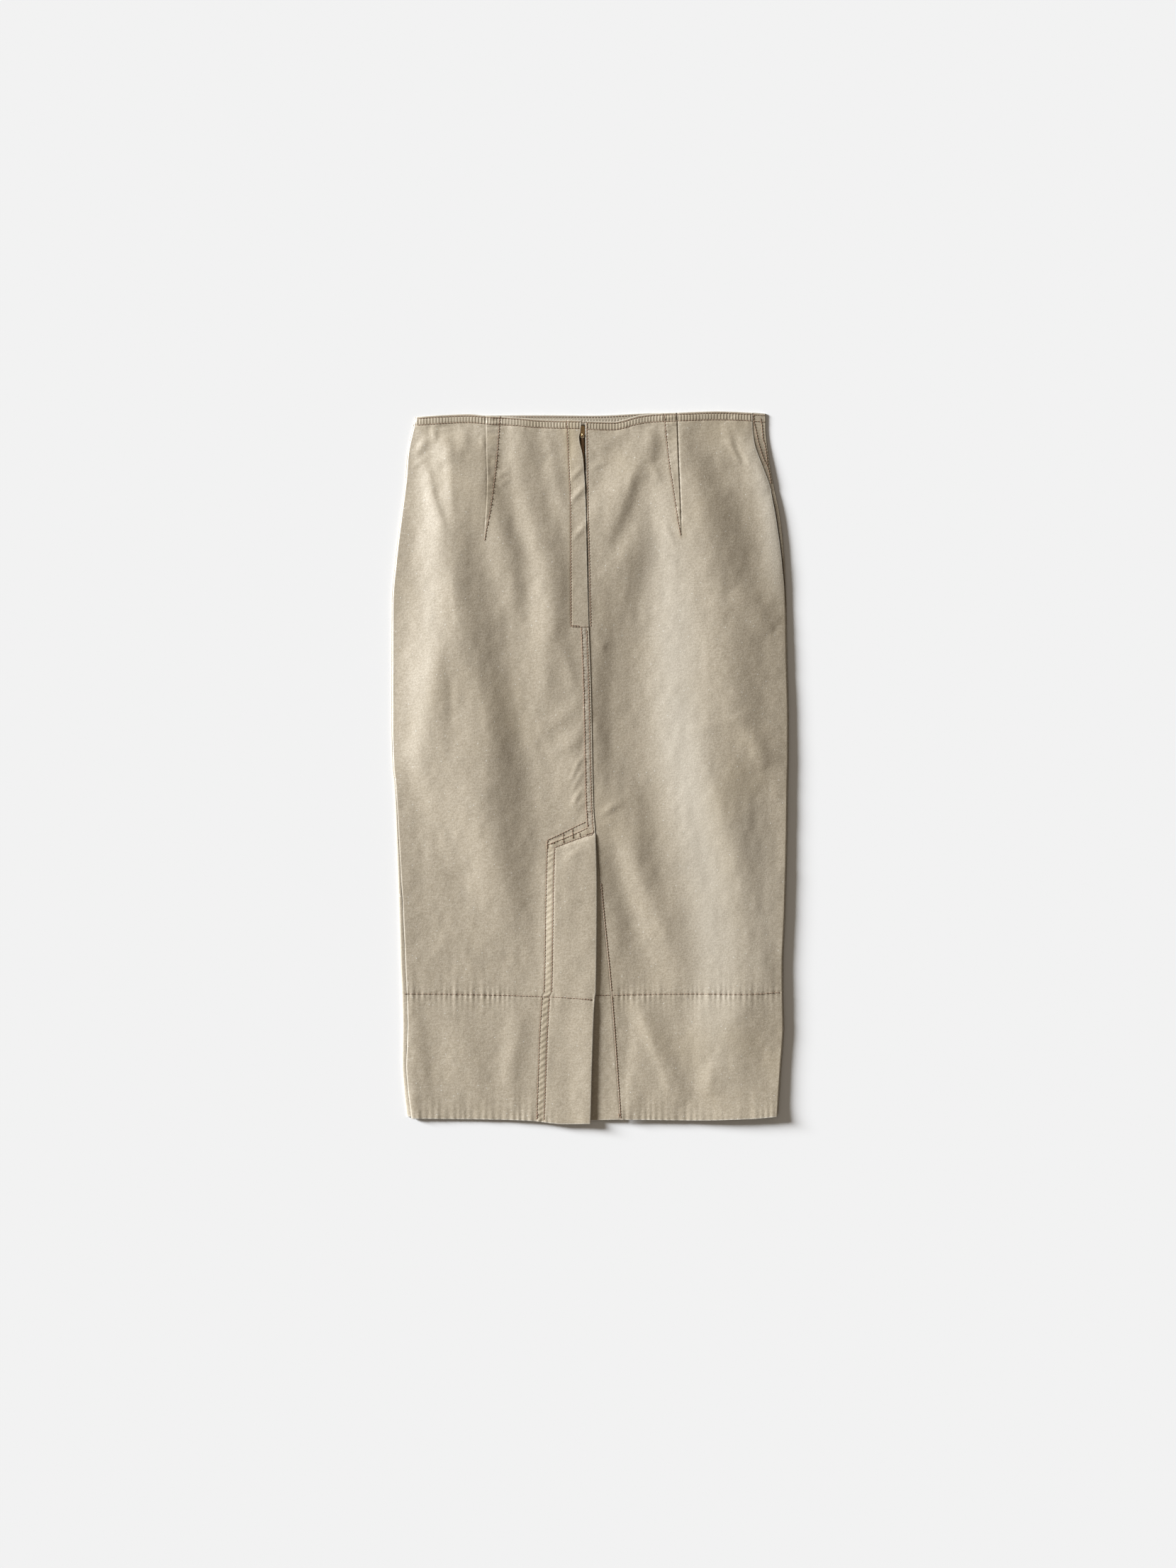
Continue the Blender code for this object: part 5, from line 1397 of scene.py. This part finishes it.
first, second, seamRow = waistEdge["rowOne"], waistEdge["rowTwo"], bandForm["seamRow"]
zipEnd, rowGap = lap["zipEnd"], vent["rowGap"]
leftStitches = sewRows("backLeftStitches", (onLeft, [
    rowUnder(waistLeft, first, -198, -11.5),
    rowUnder(waistLeft, second, -199.5, -12),
    rowDown(darts[-1]["row"], 0, 5, 150),
    rowDown(lap["row"], 0, 12, zipEnd),
    [(-21.4, zipEnd), (-10, zipEnd + 0.3), (-1.5, zipEnd)],     # across the zip's end, sewn twice
    [(-21.2, zipEnd - 1.4), (-12, zipEnd - 1.0)],
    rowDown(lapEdge, -lap["rowNear"], zipEnd + 4, 487),
    rowDown(lapEdge, -lap["rowFar"], zipEnd + 1, 481),
    [(-5, 475.2), (-19.9, 482.4), (-34, 489.4), (-48.6, 496)],      # the slanted top of the vent
    [(-2.8, 482.3), (-20.8, 490.6), (-33, 495.6), (-46, 500.4)],
    [(-20, 482.6), (-19.6, 494.4)],
    [(-30.6, 488.6), (-30.4, 499.6)],
    [(-11.6, 487.4), (-11.4, 492.6)],
    [(-4.6, 463), (4.2, 463.4)],
    [(4.0, 486), (3.4, 489.2), (-8, 492.6), (-26, 499.2), (-40.5, 504.7)],
    [(3.6, 487.4), (-5, 490.2)],
    [(-48.6, 496), (-49.6, 503)],
    [(-40.2, 499.6), (-49.4, 502.2), (-48.4, 505.4)],
    rowDown(vent["row"], 0, 505, 672.5),
    rowDown(vent["row"], -rowGap, 500.5, 672.5),
]))
rightStitches = sewRows("backRightStitches", (onRight, [
    rowUnder(waistRight, first, -4.2, 187),
    rowUnder(waistRight, second, -3.8, 187.5),
    rowDown(darts[1]["row"], 0, 4, 144),
    rowDown(zipEdge, 2.0, 13, zipEnd),
    rowDown(zipEdge, 0.9, 546, 671),
]))
leftBandStitches = sewRows("backLeftBandStitches", (onLeft, [
    rowUnder(bandSeamLeft, seamRow, -215, 3),
    [(-11, 679.8), (2.5, 681.4)],
    rowDown(vent["row"], 0, 679, 820),
    rowDown(vent["row"], -rowGap, 678, 819.5),
    [(-60, 812), (-60.6, 819)],
]))
rightBandStitches = sewRows("backRightBandStitches", (onRight, [
    rowUnder(bandSeamRight, seamRow, 27, 220),
    rowDown(zipEdge, 0.9, 677, 818),
    [(33.5, 812), (34, 817)],
]))
underlayStitches = sewRows("underlayBandStitches", (underlayHeight, [
    rowUnder(bandSeamRight, seamRow, -24, 23),
]))
frontStitches = sewRows(
    "frontStitches",
    (onStrip, [
        rowUnder(waistFront, first, 189.5, 203),
        rowUnder(waistFront, second, 190, 203.4),
        [(197.8, 7.4), (199.5, 16.4), (200.7, 32), (202.7, 37.7), (204.4, 48.4), (206, 62.3)],
        [(189.6, 3), (190.2, 11.5), (192.4, 21.3), (194.8, 33.6), (198, 45), (202, 56.6), (206, 64),
         (208.2, 73), (209.8, 83.6)],
    ]),
    (underFront, [rowUnder(waistFront, row, -196, 198) for row in (first, second)]))
facingStitches = sewRows("frontFacingStitches", (onFacing, [
    rowUnder(waistFront, facing[row], -152, 155) for row in ("rowOne", "rowTwo")]))
frontBandStitches = sewRows("frontBandStitches", (underFront, [rowUnder(bandSeamFront, seamRow, -211, 214)]))

# the zip

metals = {   # colour, roughness, and the colour where it is worn
    "zipGold": ((0.80, 0.56, 0.30), 0.32, (0.62, 0.42, 0.22)),
    "pullGold": ((0.87, 0.72, 0.50), 0.28, (0.90, 0.80, 0.62)),
    "pullCopper": ((0.43, 0.27, 0.17), 0.36, (0.30, 0.19, 0.12)),
}
tape = {
    "start": 15.8, "end": 254.0, "topAcross": -8.6, "endAcross": -5.6, "slant": 0.7, "ribScale": 420.0,
    "dark": (0.10, 0.075, 0.05), "light": (0.20, 0.155, 0.105), "roughness": 0.85,
}
hinge = {"down": 27.3, "height": 5.2}


def makeMetal(name, colour, roughness, wornColour):
    made, tree, shader, place = newMaterial(name)
    rub = scaledNoise(tree, place, (900, 900, 900), 3, 0.6)
    brushed = scaledNoise(tree, place, (4000, 300, 4000), 2, 0.5)
    colour = mixColour(tree, ramp(tree, rub, 0.4, 0.7), colour, wornColour)
    surface(tree, shader, colour, brushed, 0.25, 0.00005)
    roughen(tree, shader, rub, roughness - 0.08, roughness + 0.12)
    setInputs(shader, {"Metallic": 1.0})
    return made


def makeTape():
    made, tree, shader, place = newMaterial("zipTapeWeave")
    slanted = addNode(tree, "ShaderNodeMapping", {"Rotation": (0, 0, tape["slant"])})
    tree.links.new(place, slanted.inputs["Vector"])
    weave = addNode(tree, "ShaderNodeTexWave", {"Scale": tape["ribScale"], "Distortion": 0.6},
                    bands_direction="X")
    tree.links.new(slanted.outputs["Vector"], weave.inputs["Vector"])
    ridges = weave.outputs["Fac"]
    surface(tree, shader, mixColour(tree, ridges, tape["dark"], tape["light"]), ridges, 0.5, 0.0002)
    setInputs(shader, {"Roughness": tape["roughness"]})
    return made


zipGold, pullGold, pullCopper = (makeMetal(name, *look) for name, look in metals.items())
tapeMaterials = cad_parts["zip_tape"].data.materials
tapeMaterials.clear()
tapeMaterials.append(makeTape())
print("metals and tape finished")


def zipAcross(down):
    share = (down - tape["start"]) / (tape["end"] - tape["start"])
    return tape["topAcross"] + (tape["endAcross"] - tape["topAcross"]) * share


def extrude(builder, faces, push):
    raised = bmesh.ops.extrude_face_region(builder, geom=faces)["geom"]
    lifted = [v for v in raised if isinstance(v, bmesh.types.BMVert)]
    bmesh.ops.translate(builder, verts=lifted, vec=push)


def hardPiece(name, builder, materials, body, bevel, slot, node):
    mesh = bpy.data.meshes.new(name)
    bmesh.ops.recalc_face_normals(builder, faces=builder.faces)
    builder.to_mesh(mesh)
    builder.free()
    for material in materials:
        mesh.materials.append(material)
    mesh.shade_smooth()
    mesh.set_sharp_from_angle(angle=math.radians(40))
    piece = addObject(name, mesh)
    rounded = piece.modifiers.new("rounded", "BEVEL")
    rounded.width = bevel * mm
    rounded.segments = 2
    rounded.limit_method = "ANGLE"
    return dressPiece(piece, body, slot, node)


teeth = {
    "start": 31.5, "end": 249.0, "pitch": 1.45, "wide": 2.1, "long": 0.75, "tall": 1.1, "low": 2.35,
    "aside": 0.75, "tipShare": 0.72, "bevel": 0.12,
}


def makeTeeth():
    # a tooth from each side in turn, narrower at the tip that meets the others
    builder = bmesh.new()
    for k in range(int((teeth["end"] - teeth["start"]) / teeth["pitch"]) * 2):
        side = 1 if k % 2 else -1
        down = teeth["start"] + (k / 2 + 0.4) * teeth["pitch"]
        middle = zipAcross(down) + side * teeth["aside"]
        for v in bmesh.ops.create_cube(builder, size=1.0)["verts"]:
            narrow = teeth["tipShare"] if v.co.x * side < 0 else 1.0
            v.co = toWorld(middle + v.co.x * teeth["wide"], down + v.co.y * teeth["long"] * narrow,
                           teeth["low"] + (v.co.z + 0.5) * teeth["tall"])
    hardPiece("zipTeeth", builder, [zipGold], "skirt", teeth["bevel"], "zip_metal", "zip_chain")


slider = {
    "start": 16.6, "end": 30.6, "width": 5.8, "low": 2.7, "top": 4.2, "plate": 0.5, "plateTop": 0.55,
    "plateSunk": 0.3, "lowerShare": 0.9, "postWide": 1.6, "postLong": 2.4, "postTall": 1.3, "postAt": 1.9,
    "crownWidth": 1.5, "crownReach": 1.4, "crownThick": 0.5, "crownSink": 0.3, "archSteps": 15, "round": 10,
    "bevel": 0.12,
}


def makeSlider():
    # two plates with a post between them, and an arched crown for the pull
    builder = bmesh.new()
    middle = zipAcross(hinge["down"])
    start, end, half = slider["start"], slider["end"], slider["width"] / 2
    shoulder = [(0, start), (half * 0.5, start + 0.2), (half * 0.85, start + 1.4), (half, start + 3.2),
                (half * 0.92, start + 8), (half * 0.78, end - 0.4), (half * 0.6, end)]
    ring = shoulder + [(-a, d) for a, d in shoulder[:0:-1]]
    lowest = slider["low"] - slider["plateSunk"]
    for low, thick, share in ((lowest, slider["plate"], slider["lowerShare"]),
                              (slider["top"] - slider["plateTop"], slider["plateTop"], 1.0)):
        plate = builder.faces.new([builder.verts.new(toWorld(middle + a * share, d, low)) for a, d in ring])
        extrude(builder, [plate], (0, 0, thick * mm))
    for v in bmesh.ops.create_cube(builder, size=1.0)["verts"]:
        v.co = toWorld(middle + v.co.x * slider["postWide"],
                       start + slider["postAt"] + v.co.y * slider["postLong"],
                       (slider["low"] + slider["top"]) / 2 + v.co.z * slider["postTall"])
    reach, foot = slider["crownReach"], slider["top"] - slider["crownSink"] - hinge["height"]
    turns = np.linspace(0, math.pi, slider["archSteps"])
    spine = [(reach, foot)] + [(reach * math.cos(t), reach * math.sin(t)) for t in turns] + [(-reach, foot)]
    outward = [(1, 0)] + [(d / reach, h / reach) for d, h in spine[1:-1]] + [(-1, 0)]
    rings = []
    for (d, h), (outDown, outUp) in zip(spine, outward):
        around = []
        for turn in np.linspace(0, 2 * math.pi, slider["round"], endpoint=False):
            wide, deep = slider["crownWidth"] / 2 * math.cos(turn), slider["crownThick"] * math.sin(turn)
            around.append(builder.verts.new(toWorld(
                middle + wide, hinge["down"] + d + outDown * deep, hinge["height"] + h + outUp * deep)))
        rings.append(around)
    for one, two in zip(rings, rings[1:]):
        for k in range(slider["round"]):
            builder.faces.new((one[k], one[k - 1], two[k - 1], two[k]))
    builder.faces.new(rings[0])
    builder.faces.new(rings[-1][::-1])
    hardPiece("zipSliderBody", builder, [zipGold], "skirt", slider["bevel"], "zip_metal", "zip_slider")


pull = {
    "thick": 0.9, "head": 2.35, "eye": 0.95, "length": 23.0, "neck": 2.0, "tip": 1.3, "lean": 1.0,
    "drop": 2.4, "headSteps": 33, "eyeSteps": 20, "bevel": 0.14,
}


def makePull():
    # a round head with an eye, and a narrow blade that leans a little to the right
    builder = bmesh.new()
    middle, head, thick, eye = zipAcross(hinge["down"]), pull["head"], pull["thick"], pull["eye"]
    neck = math.asin(pull["neck"] / 2 / head)
    outside = [(head * math.sin(t), head - thick / 2 + head * math.cos(t))
               for t in np.linspace(neck, 2 * math.pi - neck, pull["headSteps"])]
    length, tip, lean = pull["length"], pull["tip"], pull["lean"]
    outside += [(lean * 0.5 - tip * 0.68, length * 0.6), (lean - tip / 2, length - tip / 2), (lean, length),
                (lean + tip / 2, length - tip / 2), (lean * 0.5 + tip * 0.68, length * 0.6)]
    hole = [(eye * math.sin(t), thick / 2 + eye + eye * math.cos(t))
            for t in np.linspace(0, 2 * math.pi, pull["eyeSteps"], endpoint=False)]
    drop = math.radians(pull["drop"])

    def lying(across, along, height):
        return toWorld(middle + across, hinge["down"] + along * math.cos(drop) + height * math.sin(drop),
                       hinge["height"] + height * math.cos(drop) - along * math.sin(drop))

    edges = []
    for loop in (outside, hole):
        ring = [builder.verts.new(lying(a, d, -thick / 2)) for a, d in loop]
        edges += [builder.edges.new((ring[k - 1], ring[k])) for k in range(len(ring))]
    bmesh.ops.triangle_fill(builder, use_beauty=True, edges=edges)
    extrude(builder, builder.faces[:], Vector(lying(0, 0, thick)) - Vector(lying(0, 0, 0)))
    blade = (skirtLength / 2 - hinge["down"] - 2 * head + thick) * mm
    for face in builder.faces:
        face.material_index = 1 if face.calc_center_median().y < blade else 0
    hardPiece("zipPull", builder, [pullGold, pullCopper], "pull", pull["bevel"], "pull_metal", "zip_pull")


makeTeeth()
makeSlider()
makePull()
print("zip made")
